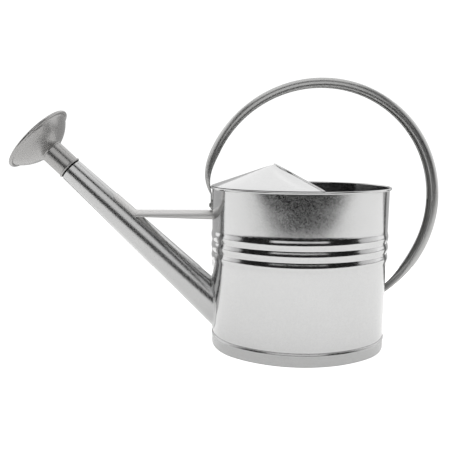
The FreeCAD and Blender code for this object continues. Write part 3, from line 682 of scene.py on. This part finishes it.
# ---- body ----
SEAM_SECTION = (  # share of the half width, and share of the thickness it stands proud
    (-1, 0.0), (-0.97, 0.6), (-0.9, 0.95), (-0.4, 1.0), (0.2, 1.0), (0.3, 0.7), (0.9, 0.6), (1, 0.0),
)
SEAM_LIFT = 0.00002  # its edges, off the wall
SEAM_SINK = 0.0002  # its back, into the wall


def wall_outline(body):
    """The wall's sheet with its beads and rolled rim, as (outward, height) points."""
    sheet = body.sheet
    inner = body.wire + GAP
    outer = inner + sheet
    rim_z = body.height - outer
    beads = []
    for number in range(body.beads):
        crest = body.height - body.bead_drop - number * body.bead_pitch
        for step in range(20):
            share = step / 20
            swell = math.sin(math.pi * share) ** 1.35
            beads.append((body.bead_height * swell, crest + body.bead_pitch * (0.5 - share)))
    low = body.height - body.bead_drop - (body.beads - 0.5) * body.bead_pitch
    outside = [(0.0, beads[0][1] + 0.004)] + beads + [(0.0, low), (0.0, low - 0.004)]
    floor = body.foot_sheet + GAP
    inside = [(out - sheet, height) for out, height in reversed(outside)]
    curl_out = round_arc(inner, rim_z, outer, 180, -140, 40)
    curl_in = round_arc(inner, rim_z, inner, -140, 180, 32)
    return [(-sheet, floor)] + inside + curl_out + curl_in + outside + [(0.0, floor)]


def seam_strip(body):
    """The lock seam: a strip that follows the wall outside, with rounded long edges."""
    centre, radius, _, _ = oval_arcs(body)[0]
    half = body.seam_width / 2 / radius
    top = body.height - body.seam_drop
    outside = wall_outline(body)[-20 * body.beads - 6:]
    heights = [(0.0, top)] + [point for point in outside if body.foot_height < point[1] < top]
    heights.append((0.0, body.foot_height + GAP))
    section = [(share, body.seam_proud * rise + SEAM_LIFT) for share, rise in SEAM_SECTION]
    section += [(0.8, -SEAM_SINK), (-0.8, -SEAM_SINK)]
    rings = []
    for out, height in heights:
        rings.append([
            centre + spoke(body.seam_turn + half * share, radius + out + proud, height)
            for share, proud in section
        ])
    return skin(rings)


def foot_outline(body):
    """The foot hoop's sheet, as (outward, height) points: a ledge, a band and a bead."""
    sheet = body.foot_sheet
    low, high = body.foot_bead_low, body.foot_bead_high
    inside, outside = GAP, GAP + sheet
    bend = body.foot_bend
    bead = [(0.0, low)]
    for step in range(1, 20):
        share = step / 20
        bead.append((math.sin(math.pi * share) * body.foot_bead, low + (high - low) * share))
    bead.append((0.0, high))
    outer = [(outside + swell, height) for swell, height in bead]
    inner = [(inside + swell, height) for swell, height in reversed(bead)]
    corner = round_arc(outside - bend, bend, bend, -90, 0, 12)
    top = body.foot_height
    edge = 0.0002
    lip = [(outside, top - edge), (outside - edge, top), (inside, top)]
    ledge = -body.foot_ledge
    return [(ledge, 0.0)] + corner + outer + lip + inner + [(inside, sheet), (ledge, sheet)]


class CAN_OT_body(bpy.types.Operator):
    """Builds the wall, its rolled rim and the foot hoop"""

    bl_idname = "can.body"
    bl_label = "Build body"

    def execute(self, context):
        body = context.scene.can_body
        spout = context.scene.can_spout
        handle = context.scene.can_handle
        frame = spout_frame(spout)
        bore = spout.root - spout.sheet
        reach = Vector((0, 0, 2 * spout.root))
        cutters = [rod(bore, frame @ -reach, frame @ reach)]
        for side, height in ((-1, handle.rivet_front), (1, handle.rivet_rear)):
            wall = Vector((side * body.half_length, 0, height))
            across = Vector((side * 0.04, 0, 0))
            cutters.append(rod(RIVET_SHANK + GAP, wall - across, wall + across, 24))
        wall = swept_round_body("Wall", wall_outline(body), "Galvanised sheet", cutters)
        strip = placed("Seam", mesh_of("Seam", [seam_strip(body)]))
        finished(strip, "Galvanised sheet")
        with context.temp_override(active_object=wall, selected_editable_objects=[wall, strip]):
            bpy.ops.object.join()
        stands_for(wall, "can", "galvanised_sheet", "wall_shell")
        foot = swept_round_body("Foot_hoop", foot_outline(body), "Galvanised spout")
        stands_for(foot, "can", "galvanised_sheet", "foot_hoop")
        for name, material in (
            ("base_plate", "Galvanised sheet"), ("rim_wire", "Drawn steel wire"),
            ("hood_hem_wire", "Drawn steel wire"), ("rivet_washer_front", "Dull rivet steel"),
            ("rivet_washer_rear", "Dull rivet steel"), ("rose_seal", "Black rubber"),
        ):
            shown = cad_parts[name]
            for slot in shown.material_slots:
                slot.material = finishes()[material]
        return {"FINISHED"}


# ---- splash hood ----
def hood_feet(body, hood):
    """Points of the hood's edge on the rim, from the far back corner round the front to the near one."""
    rim = body.wire + GAP
    height = body.height + GAP
    _, far, front, near = oval_arcs(body)
    turn = math.acos(hood.crease_x / (far[1] + rim))
    round_front = arc_points(far, rim, height, 60, turn, far[3])
    round_front += arc_points(front, rim, height, 48)
    round_front += arc_points(near, rim, height, 60, near[2], 2 * math.pi - turn)
    round_front.append(near[0] + spoke(-turn, near[1] + rim, height))
    back = math.acos(hood.edge_x / (far[1] + rim))
    corner_y = (far[1] + rim) * math.sin(back) + far[0].y
    lip = []
    for i in range(14):
        share = i / 14
        start = Vector((hood.edge_x, corner_y, height))
        lip.append(start + (round_front[0] - start) * share)
    mirrored = [Vector((p.x, -p.y, p.z)) for p in reversed(lip)]
    return lip + round_front + mirrored, len(lip)


def hood_sheet(body, hood):
    """The hood's panel, with a soft fold where the side turns into the wired back edge."""
    feet, lip = hood_feet(body, hood)
    peak = Vector((hood.peak_x, 0, body.height + hood.rise))
    last = len(feet) - 1
    pitch_lip = (feet[1] - feet[0]).length
    pitch_side = (feet[lip + 1] - feet[lip]).length
    rings = []
    to_peak = 0.985  # the last ring stops short of the peak, where its points would all meet
    for i in range(37):
        share = to_peak * i / 36
        upper = []
        lower = []
        for j, foot in enumerate(feet):
            point = foot + (peak - foot) * share
            across = min(j, last - j)
            gone = (across - lip) * (pitch_lip if across < lip else pitch_side) * (1 - share)
            depth = hood.fold * math.sin(math.pi * share ** 1.6) ** 0.7
            swing = hood.fold_swing * math.sin(math.pi * share)
            fold = depth * math.exp(-(((gone - swing) / hood.fold_width) ** 2))
            inward = Vector((0, -math.copysign(1, point.y) if abs(point.y) > 1e-6 else 0, 0))
            point = point + Vector((0, 0, -fold)) + inward * (fold * 0.5)
            upper.append(point + Vector((0, 0, hood.sheet)))
            lower.append(point)
        rings.append(upper + lower[::-1])
    points, faces = skin(rings)
    low = body.height + GAP
    return [Vector((p.x, p.y, max(p.z, low))) for p in points], faces


class CAN_OT_hood(bpy.types.Operator):
    """Builds the half cover over the front of the can's mouth"""

    bl_idname = "can.hood"
    bl_label = "Build splash hood"

    def execute(self, context):
        body = context.scene.can_body
        hood = context.scene.can_hood
        feet, _ = hood_feet(body, hood)
        lift = Vector((0, 0, hood.sheet / 2))
        peak = Vector((hood.peak_x, 0, body.height + hood.rise)) + lift
        parts = [hood_sheet(body, hood)]
        for corner in (feet[0], feet[-1]):
            path = [peak + (corner + lift - peak) * (i / 24) for i in range(25)]
            radii = [hood.hem * (0.6 + 0.4 * min(1.0, i / 8)) for i in range(25)]
            parts.append(tube(path, radii, 20, body.height + GAP))
        piece("Splash_hood", parts, "Galvanised sheet", "can", "galvanised_sheet", ["splash_hood"], 40.0)
        return {"FINISHED"}


# ---- spout ----
def at_wall(body, spot, lift):
    """How far along the spout a line of points, spot(along), meets the wall moved outward by `lift`."""
    return crossing(lambda along: outward(body, spot(along)) - lift, -0.05, 0.08)


def spout_tube(spout, body):
    """The tapered tube, cut to the wall at its root, with its seam, shoulder and tip."""
    frame = spout_frame(spout)
    half = spout.seam / 2
    turns = round_turns(96)
    turns += [math.pi + side * half * share for side in (-1, 1) for share in (0.97, 1.03)]
    inside = spout.tip - spout.sheet
    edge = 0.0002
    columns = []
    for turn in sorted(turns):
        way = spoke(turn)
        proud = spout.sheet if abs(turn - math.pi) < half else 0.0

        def spot(along, shift):
            return frame @ (way * (spout_radius(spout, along) + shift) + Vector((0, 0, along)))

        start = at_wall(body, lambda along: spot(along, proud), GAP)
        outer = [start + (spout.length - start) * i / 40 for i in range(41)]
        column = [spot(along, proud) for along in outer]
        for radius, along in (
            (spout.tip + 0.0003, spout.length + 0.0017), (spout.tip, spout.length + 0.0022),
            (spout.tip, spout.tip_end - edge), (spout.tip - edge, spout.tip_end),
            (inside, spout.tip_end), (inside, spout.length + 0.002),
        ):
            column.append(frame @ (way * radius + Vector((0, 0, along))))
        start = at_wall(body, lambda along: spot(along, -spout.sheet), GAP)
        inner = [start + (spout.length - start) * i / 20 for i in range(21)]
        column += [spot(along, -spout.sheet) for along in reversed(inner)]
        columns.append(column)
    return skin(columns, along=True)


def spout_collar(spout, body):
    """The soldered flange on the wall round the spout's root, thinning to its outer edge."""
    frame = spout_frame(spout)
    outline = (  # distance from the spout, and height above the wall
        (0.0001, GAP), (0.0001, 0.0022), (0.0008, 0.0014), (0.0018, 0.001),
        (spout.collar - 0.0005, 0.0008), (spout.collar, 0.0003), (spout.collar, GAP),
    )
    columns = []
    for turn in round_turns(96):
        way = spoke(turn)
        column = []
        for width, lift in outline:
            def spot(along):
                return frame @ (way * (spout_radius(spout, along) + width) + Vector((0, 0, along)))

            column.append(spot(at_wall(body, spot, lift)))
        columns.append(column)
    return skin(columns, along=True)


class CAN_OT_spout(bpy.types.Operator):
    """Builds the spout and the collar at its root"""

    bl_idname = "can.spout"
    bl_label = "Build spout"

    def execute(self, context):
        spout = context.scene.can_spout
        body = context.scene.can_body
        tube_part, collar_part = spout_tube(spout, body), spout_collar(spout, body)
        piece("Spout", [tube_part], "Galvanised spout", "can", "spout_sheet", ["spout_tube"])
        piece("Collar", [collar_part], "Galvanised spout", "can", "spout_sheet", ["spout_collar"], 40.0)
        return {"FINISHED"}


# ---- rose ----
def face_outline(rose):
    """The face's dome and folded rim as (radius, height along the spout) points."""
    sheet = rose.sheet
    front = rose.mouth + rose.cone_start + rose.cone_depth + sheet + GAP
    rim = rose.cone_radius - sheet
    ball = (rim ** 2 + rose.dome ** 2) / (2 * rose.dome)
    tilt = math.asin(rim / ball)
    outer = []
    inner = []
    for i in range(49):
        turn = tilt * i / 48
        height = front + rose.dome - ball * (1 - math.cos(turn))
        outer.append((ball * math.sin(turn), height + sheet))
        inner.append((ball * math.sin(turn), height))
    middle = front + sheet - rose.hem
    centre = rose.face - rose.hem
    rolled = 0.0006  # sheet of the rolled rim, a little drawn out
    roll = round_arc(centre, middle, rose.hem, 84, -160, 22)
    inside = round_arc(centre, middle, rose.hem - rolled, -160, 84, 18)
    return outer + roll + inside + inner[::-1], ball, front + sheet + rose.dome - ball


class CAN_OT_rose(bpy.types.Operator):
    """Builds the pull-off rose: neck, back and perforated face"""

    bl_idname = "can.rose"
    bl_label = "Build rose"

    def execute(self, context):
        rose = context.scene.can_rose
        frame = spout_frame(context.scene.can_spout)
        bore = rose.neck - rose.sheet
        middle = rose.mouth + rose.bead
        end = rose.mouth + rose.neck_length
        inset = 0.0002  # of the bead's middle, from the neck's outside
        ring = round_arc(rose.neck - inset, middle, rose.bead, -80, 80, 16)
        neck = [(bore, rose.mouth), (rose.neck - inset, rose.mouth)] + ring
        neck += [(rose.neck, middle + rose.bead), (rose.neck, end), (bore, end)]
        piece("Rose_neck", [lathe(neck, 96, frame)], "Spun rose sheet", "rose", "rose_sheet", ["rose_neck"])
        small = rose.neck + GAP
        start = rose.mouth + rose.cone_start
        wide = start + rose.cone_depth
        run = Vector((rose.cone_radius - small, rose.cone_depth))
        out = Vector((run.y, -run.x)).normalized() * rose.bulge
        centre = ((small + rose.cone_radius) / 2 + out.x, (start + wide) / 2 + out.y)
        swell = arc_through((small, start), centre, (rose.cone_radius, wide), 32)
        edge = rose.face - 1.3 * rose.hem
        under = [(r - rose.sheet * 0.35, z + rose.sheet) for r, z in reversed(swell[1:])]
        collar = [(small, start - 0.0014), (small + 0.0009, start - 0.0009), (small + 0.0012, start + 0.0002)]
        swell = [point for point in swell if point[0] < edge - 0.002]
        back = collar + swell[1:] + [(edge, wide), (edge, wide + rose.sheet)] + under
        back += [(small, start + 0.001)]
        piece("Rose_back", [lathe(back, 128, frame)], "Spun rose sheet", "rose", "rose_sheet", ["rose_cone"])
        outline, ball, ball_centre = face_outline(rose)
        face = placed("Rose_face", mesh_of("Rose_face", [lathe(outline, 128)]))
        apply_group(face, hole_group(), {
            "Pitch": rose.pitch, "Count": 1 + 3 * rose.rings * (rose.rings + 1), "Hole radius": rose.hole,
            "Ball radius": ball, "Ball centre": ball_centre, "Depth": rose.punch,
            "Material": finishes()["Spun rose sheet"],
        })
        face.data.transform(frame)
        finished(face, "Spun rose sheet", 40.0)
        stands_for(face, "rose", "rose_sheet", "rose_face")
        return {"FINISHED"}


# ---- handle ----
def bowed(half, drop, inner_half, inner_drop, sheet, steps=18):
    """A bowed sheet's closed section: (across, outward) points, with its crown at (0, 0)."""
    points = [(-half, -drop)]
    points += arc_through((-half, -drop), (0.0, 0.0), (half, -drop), 2 * steps)
    points.append((inner_half, -inner_drop))
    points += arc_through((inner_half, -inner_drop), (0.0, -sheet), (-inner_half, -inner_drop), 2 * steps)
    return points


def channel_section(width, depth, sheet):
    """What bowed() takes for a channel bent from strip."""
    return [width / 2, depth, width / 2 - sheet, depth, sheet]


def rounding(corner, left):
    """How much narrower a plate with rounded corners is on each side, `left` before its end."""
    if left >= corner:
        return 0.0
    return corner - math.sqrt(max(corner ** 2 - (corner - left) ** 2, 0))


def rear_depth(handle, share):
    """The share of its depth that the channel keeps, `share` of the way up from its rear end."""
    return 1 - handle.rear_flat * math.exp(-((share * 14) ** 2))


def blend(first, second, share):
    return [a + (b - a) * share for a, b in zip(first, second)]


def strap_stations(handle, body):
    """Crown, outward direction and section of the hoop's front end, from the plain hoop down."""
    turn = handle.top_end
    centre = Vector((handle.centre_x, 0, handle.centre_z))
    out = Vector((math.cos(turn), 0, math.sin(turn)))
    start = centre + out * handle.radius
    way = Vector((-math.sin(turn), 0, math.cos(turn)))
    stack = bpy.context.scene.can_brace.sheet + 3 * GAP
    end = Vector((-body.half_length - stack - handle.tab_sheet, 0, handle.strap_end))
    reach = (start - end).length / 3
    poles = [start, start + way * reach, end + Vector((-handle.swing, 0, reach)), end]
    channel = channel_section(handle.width, handle.depth, handle.sheet)
    half = handle.tab_width / 2
    sag = half * half / 2 / (body.end_radius + stack)
    plate = [half, sag, half, sag + handle.tab_sheet, handle.tab_sheet]
    stations = []
    for i in range(1, 33):
        t = i / 32
        u = 1 - t
        point = poles[0] * u ** 3 + poles[1] * (3 * u * u * t)
        point += poles[2] * (3 * u * t * t) + poles[3] * t ** 3
        slope = (poles[1] - poles[0]) * (u * u) + (poles[2] - poles[1]) * (2 * u * t)
        slope += (poles[3] - poles[2]) * (t * t)
        way = slope.normalized()
        stations.append((point, Vector((way.z, 0, -way.x)), blend(channel, plate, t ** 1.6), t))
    drop = handle.strap_end - handle.front_low
    for i in range(1, 25):
        fallen = drop * (1 - (1 - i / 24) ** 1.5)
        span = half - rounding(handle.tab_corner, drop - fallen)
        shape = [span, span ** 2 / 2 / body.end_radius, span]
        shape += [shape[1] + handle.tab_sheet, handle.tab_sheet]
        stations.append((end - Vector((0, 0, fallen)), Vector((-1, 0, 0)), shape, 1.0))
    return stations


def hoop_sheet(handle, body):
    """The hoop's channel, its flattened front end and its rolled edges."""
    centre = Vector((handle.centre_x, 0, handle.centre_z))
    section = bowed(*channel_section(handle.width, handle.depth, handle.sheet))
    end_inset = 0.0025  # how far the rear end sits inside the hoop, where it is cut to the wall

    def on_hoop(turn, across, out):
        reach = handle.radius + out
        return centre + Vector((reach * math.cos(turn), across, reach * math.sin(turn)))

    starts = []
    for across, out in section:
        pressed = out * (1 - handle.rear_flat) - end_inset
        starts.append(crossing(
            lambda turn: outward(body, on_hoop(turn, across, pressed)) - GAP,
            math.radians(-75), math.radians(-30)
        ))
    rings = []
    for i in range(141):
        share = (i / 140) ** 1.15
        flat = rear_depth(handle, share)
        inward = handle.rear_inset * (1 - flat)
        rings.append([
            on_hoop(first + (handle.top_end - first) * share, across, out * flat - inward)
            for (across, out), first in zip(section, starts)
        ])
    lips = {-1: [], 1: []}
    inset = handle.width / 2 - handle.lip / 2
    for i in range(121):
        share = i / 120
        turn = handle.lip_start + (handle.top_end - handle.lip_start) * share
        flat = rear_depth(handle, share)
        radius = handle.lip * (0.6 + 0.4 * min(1.0, share * 8))
        inward = handle.depth * flat + handle.rear_inset * (1 - flat)
        for side in lips:
            lips[side].append((on_hoop(turn, side * inset, radius - inward), radius))
    for point, out, shape, share in strap_stations(handle, body):
        rings.append([point + out * y + Vector((0, x, 0)) for x, y in bowed(*shape)])
        if share < 1.0:
            radius = handle.lip * (1 - share) ** 0.7 + 0.0003
            for side in lips:
                spot = point + out * (radius - shape[3]) + Vector((0, side * (shape[0] - radius / 2), 0))
                lips[side].append((spot, radius))
    parts = [skin(rings)]
    for side in lips:
        parts.append(tube([spot for spot, _ in lips[side]], [radius for _, radius in lips[side]], 14))
    return parts


def wall_plate(body, side, low, high, half, lift, thick, corner):
    """A plate with rounded corners that lies on the front or rear end of the wall."""
    rings = []
    rows = 30
    for i in range(rows + 1):
        share = 0.5 - 0.5 * math.cos(math.pi * i / rows)
        height = low + (high - low) * share
        span = max(half - rounding(corner, min(height - low, high - height)), 0.0004)
        ys = [span * (k / 8 - 1) for k in range(17)]
        front = [Vector((wall_x(body, side, y, lift + thick), y, height)) for y in ys]
        behind = [Vector((wall_x(body, side, y, lift), y, height)) for y in reversed(ys)]
        rings.append(front + behind)
    return skin(rings)


def rivet_outline(handle, body, stack):
    """A domed rivet as (radius, distance outward from the wall) points."""
    washer = 0.001
    tail = -body.sheet - 2 * GAP - washer
    end, spread_out, edge = tail - 0.0016, 0.0032, 0.0003
    head, crown = handle.head, stack + handle.head_height
    shoulder = (head * 0.72, stack + handle.head_height * 0.74)
    dome = arc_through((head, stack + edge), shoulder, (0.0, crown), 14)
    shank = [(0.0, end), (spread_out - 0.0004, end), (spread_out, end + 0.0005), (spread_out, tail)]
    shank += [(RIVET_SHANK, tail), (RIVET_SHANK, stack)]
    return shank + [(head - 0.0001, stack), (head, stack + edge)] + dome


class CAN_OT_handle(bpy.types.Operator):
    """Builds the hoop with its ends on the wall, and its two rivets"""

    bl_idname = "can.handle"
    bl_label = "Build handle"

    def execute(self, context):
        handle = context.scene.can_handle
        body = context.scene.can_body
        parts = hoop_sheet(handle, body)
        parts.append(wall_plate(
            body, 1, handle.rear_low, handle.rear_high,
            handle.tab_width / 2, GAP, handle.tab_sheet, handle.tab_corner,
        ))
        piece("Hoop", parts, "Dipped steel strip", "can", "strip_steel", ["handle_hoop"], 40.0, 0.00025)
        brace_stack = context.scene.can_brace.sheet + 2 * GAP
        for name, side, height, stack in (
            ("handle_rivet_front", -1, handle.rivet_front, brace_stack + handle.tab_sheet + GAP),
            ("handle_rivet_rear", 1, handle.rivet_rear, handle.tab_sheet + 2 * GAP),
        ):
            turn = Matrix.Rotation(side * math.pi / 2, 4, "Y")
            place = Matrix.Translation((side * body.half_length, 0, height)) @ turn
            shape = lathe(rivet_outline(handle, body, stack), 40, place)
            piece(name.capitalize(), [shape], "Dull rivet steel", "can", "rivets", [name])
        return {"FINISHED"}


# ---- brace ----
def brace_strut(brace, spout, body):
    """The channel between the wall and the spout, cut to both at its ends."""
    inverse = spout_frame(spout).inverted()

    def clear_of_spout(point):
        local = inverse @ point
        return math.hypot(local.x, local.y) - spout_radius(spout, local.z) - GAP

    wall = -body.half_length
    inside, between, beyond = -0.12, -0.16, -0.27  # X in the can, in the gap and past the spout

    def section(x):
        share = (x - wall) / (brace.spout_x - wall)
        depth = brace.depth_wall + (brace.depth_spout - brace.depth_wall) * share
        return bowed(*channel_section(brace.width, depth, brace.sheet))

    columns = []
    for k in range(len(section(wall))):
        def spot(x):
            across, down = section(x)[k]
            return Vector((x, across, brace.top + down))

        first = crossing(lambda x: outward(body, spot(x)) - GAP, inside, between)
        last = crossing(lambda x: clear_of_spout(spot(x)), between, beyond)
        columns.append([spot(first + (last - first) * i / 30) for i in range(31)])
    return skin([list(ring) for ring in zip(*columns)])


def spout_plate(brace, spout):
    """The brace's tongue: a plate with rounded corners that lies on the top of the spout."""
    frame = spout_frame(spout)
    rings = []
    rows = 36
    for i in range(rows + 1):
        share = 1 - (1 - i / rows) ** 1.6
        along = brace.tongue_start + (brace.tongue_end - brace.tongue_start) * share
        radius = spout_radius(spout, along) + GAP
        half = radius * brace.tongue_half
        narrow = rounding(brace.tongue_corner, brace.tongue_end - along)
        turn = max(half - narrow, 0.0004) / radius
        turns = [turn * (k / 10 - 1) for k in range(21)]
        outer = [spoke(t, radius + brace.sheet, along) for t in turns]
        inner = [spoke(t, radius, along) for t in reversed(turns)]
        rings.append([frame @ point for point in outer + inner])
    return skin(rings)


class CAN_OT_brace(bpy.types.Operator):
    """Builds the strut between the body and the spout"""

    bl_idname = "can.brace"
    bl_label = "Build brace"

    def execute(self, context):
        brace = context.scene.can_brace
        spout = context.scene.can_spout
        body = context.scene.can_body
        parts = [brace_strut(brace, spout, body), spout_plate(brace, spout)]
        parts.append(wall_plate(
            body, -1, brace.top - brace.tab_overlap, brace.tab_top,
            brace.tab_width / 2, GAP, brace.sheet, brace.tab_corner,
        ))
        piece("Brace", parts, "Galvanised strip", "can", "strip_steel", ["spout_brace"], 40.0, 0.00022)
        return {"FINISHED"}


# ---- stage ----
PANELS = (  # name, place, height it is aimed at over the origin, width, height, brightness
    ("Overhead", (0.0, 0.0, 2.3), 0.1, 2.4, 1.6, 0.85),
    ("Front top", (0.0, -2.1, 1.55), 0.2, 2.8, 1.7, 1.05),
    ("Back top", (0.0, 2.0, 1.9), 0.2, 4.4, 2.0, 0.72),
    ("Left side", (-2.0, 0.3, 1.0), 0.3, 3.0, 1.9, 0.75),
    ("Right side", (2.0, 0.3, 1.0), 0.3, 3.0, 1.9, 0.75),
)
CAMERA_PLACE = (-0.1132, -0.774, 0.3139)
CAMERA_DOWN = 9.28  # degrees below level
CAMERA_ROLL = -0.16  # degrees
ROOM_TURN = (-0.35, 0.15)  # how far back a ray points where the room starts and stops brightening


def panel_light(name, place, aim_height, wide, tall, glow):
    """A soft rectangular light whose brightness as seen is `glow`."""
    data = bpy.data.lights.new(name, "AREA")
    data.shape = "RECTANGLE"
    data.size = wide
    data.size_y = tall
    data.energy = glow * math.pi * wide * tall
    made = bpy.data.objects.new(name, data)
    made.location = place
    aim = Vector((0.0, 0.0, aim_height))
    made.rotation_euler = (aim - Vector(place)).to_track_quat("-Z", "Y").to_euler()
    bpy.context.scene.collection.objects.link(made)


class CAN_OT_stage(bpy.types.Operator):
    """Sets the floor, the soft studio lights and the camera"""

    bl_idname = "can.stage"
    bl_label = "Build stage"

    def execute(self, context):
        stage = context.scene.can_stage
        side, front, back = stage.floor_half, stage.floor_front, stage.floor_back
        corners = [(-side, -front, 0), (side, -front, 0), (side, back, 0), (-side, back, 0)]
        mesh = bpy.data.meshes.new("Floor")
        mesh.from_pydata(corners, [], [(0, 1, 2, 3)])
        mesh.update()
        floor = placed("Floor", mesh)
        # Pale matt sheet lit from below, so that it is white where the camera sees it.
        paper = plain("Pale paper", "#f6f6f5", 0.8)
        tree = paper.node_tree
        seen = node(tree, "ShaderNodeLightPath").outputs["Is Camera Ray"]
        glow = maths(tree, "ADD", maths(tree, "MULTIPLY", seen, stage.seen_glow), stage.floor_glow)
        shader = tree.nodes["Principled BSDF"]
        shader.inputs["Emission Color"].default_value = linear("#ffffff")
        tree.links.new(glow, shader.inputs["Emission Strength"])
        mesh.materials.append(paper)
        for panel in PANELS:
            panel_light(*panel)
        world = bpy.data.worlds.new("Studio")
        world.use_nodes = True
        tree = world.node_tree
        seen = node(tree, "ShaderNodeLightPath").outputs["Is Camera Ray"]
        way = node(tree, "ShaderNodeTexCoord").outputs["Generated"]
        behind = node(tree, "ShaderNodeSeparateXYZ", {"Vector": way}).outputs["Y"]
        unseen = spread(tree, behind, *ROOM_TURN, stage.room, stage.room_back)
        unseen = maths(tree, "MULTIPLY", unseen, maths(tree, "SUBTRACT", 1.0, seen))
        bright = maths(tree, "ADD", unseen, maths(tree, "MULTIPLY", seen, stage.backdrop))
        back = tree.nodes["Background"]
        back.inputs["Color"].default_value = linear("#ffffff")
        tree.links.new(bright, back.inputs["Strength"])
        context.scene.world = world
        context.scene.view_settings.view_transform = "Standard"
        data = bpy.data.cameras.new("Camera")
        data.lens = stage.focal
        data.sensor_width = 36.0
        data.dof.use_dof = False
        camera = bpy.data.objects.new("Camera", data)
        camera.location = CAMERA_PLACE
        camera.rotation_euler = (math.radians(90 - CAMERA_DOWN), math.radians(CAMERA_ROLL), 0.0)
        context.scene.collection.objects.link(camera)
        context.scene.camera = camera
        return {"FINISHED"}


STEPS = (CAN_OT_body, CAN_OT_hood, CAN_OT_spout, CAN_OT_rose, CAN_OT_handle, CAN_OT_brace, CAN_OT_stage)


class CAN_PT_panel(bpy.types.Panel):
    """Sizes and build buttons of the watering can"""

    bl_idname = "CAN_PT_panel"
    bl_label = "Watering can"
    bl_space_type = "VIEW_3D"
    bl_region_type = "UI"
    bl_category = "Watering can"

    def draw(self, context):
        for name, group in GROUPS.items():
            box = self.layout.box()
            box.label(text=name.replace("can_", "").capitalize())
            for key in group.__annotations__:
                box.prop(getattr(context.scene, name), key)
        for step in STEPS:
            self.layout.operator(step.bl_idname)


CLASSES = tuple(GROUPS.values()) + STEPS + (CAN_PT_panel,)


def register():
    for kind in CLASSES:
        bpy.utils.register_class(kind)
    for name, group in GROUPS.items():
        setattr(bpy.types.Scene, name, PointerProperty(type=group))


def unregister():
    for name in GROUPS:
        delattr(bpy.types.Scene, name)
    for kind in reversed(CLASSES):
        bpy.utils.unregister_class(kind)


def main():
    register()
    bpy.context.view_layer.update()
    bpy.ops.can.body()
    bpy.ops.can.hood()
    bpy.ops.can.spout()
    bpy.ops.can.rose()
    bpy.ops.can.handle()
    bpy.ops.can.brace()
    bpy.ops.can.stage()


if __name__ == "__main__":
    main()
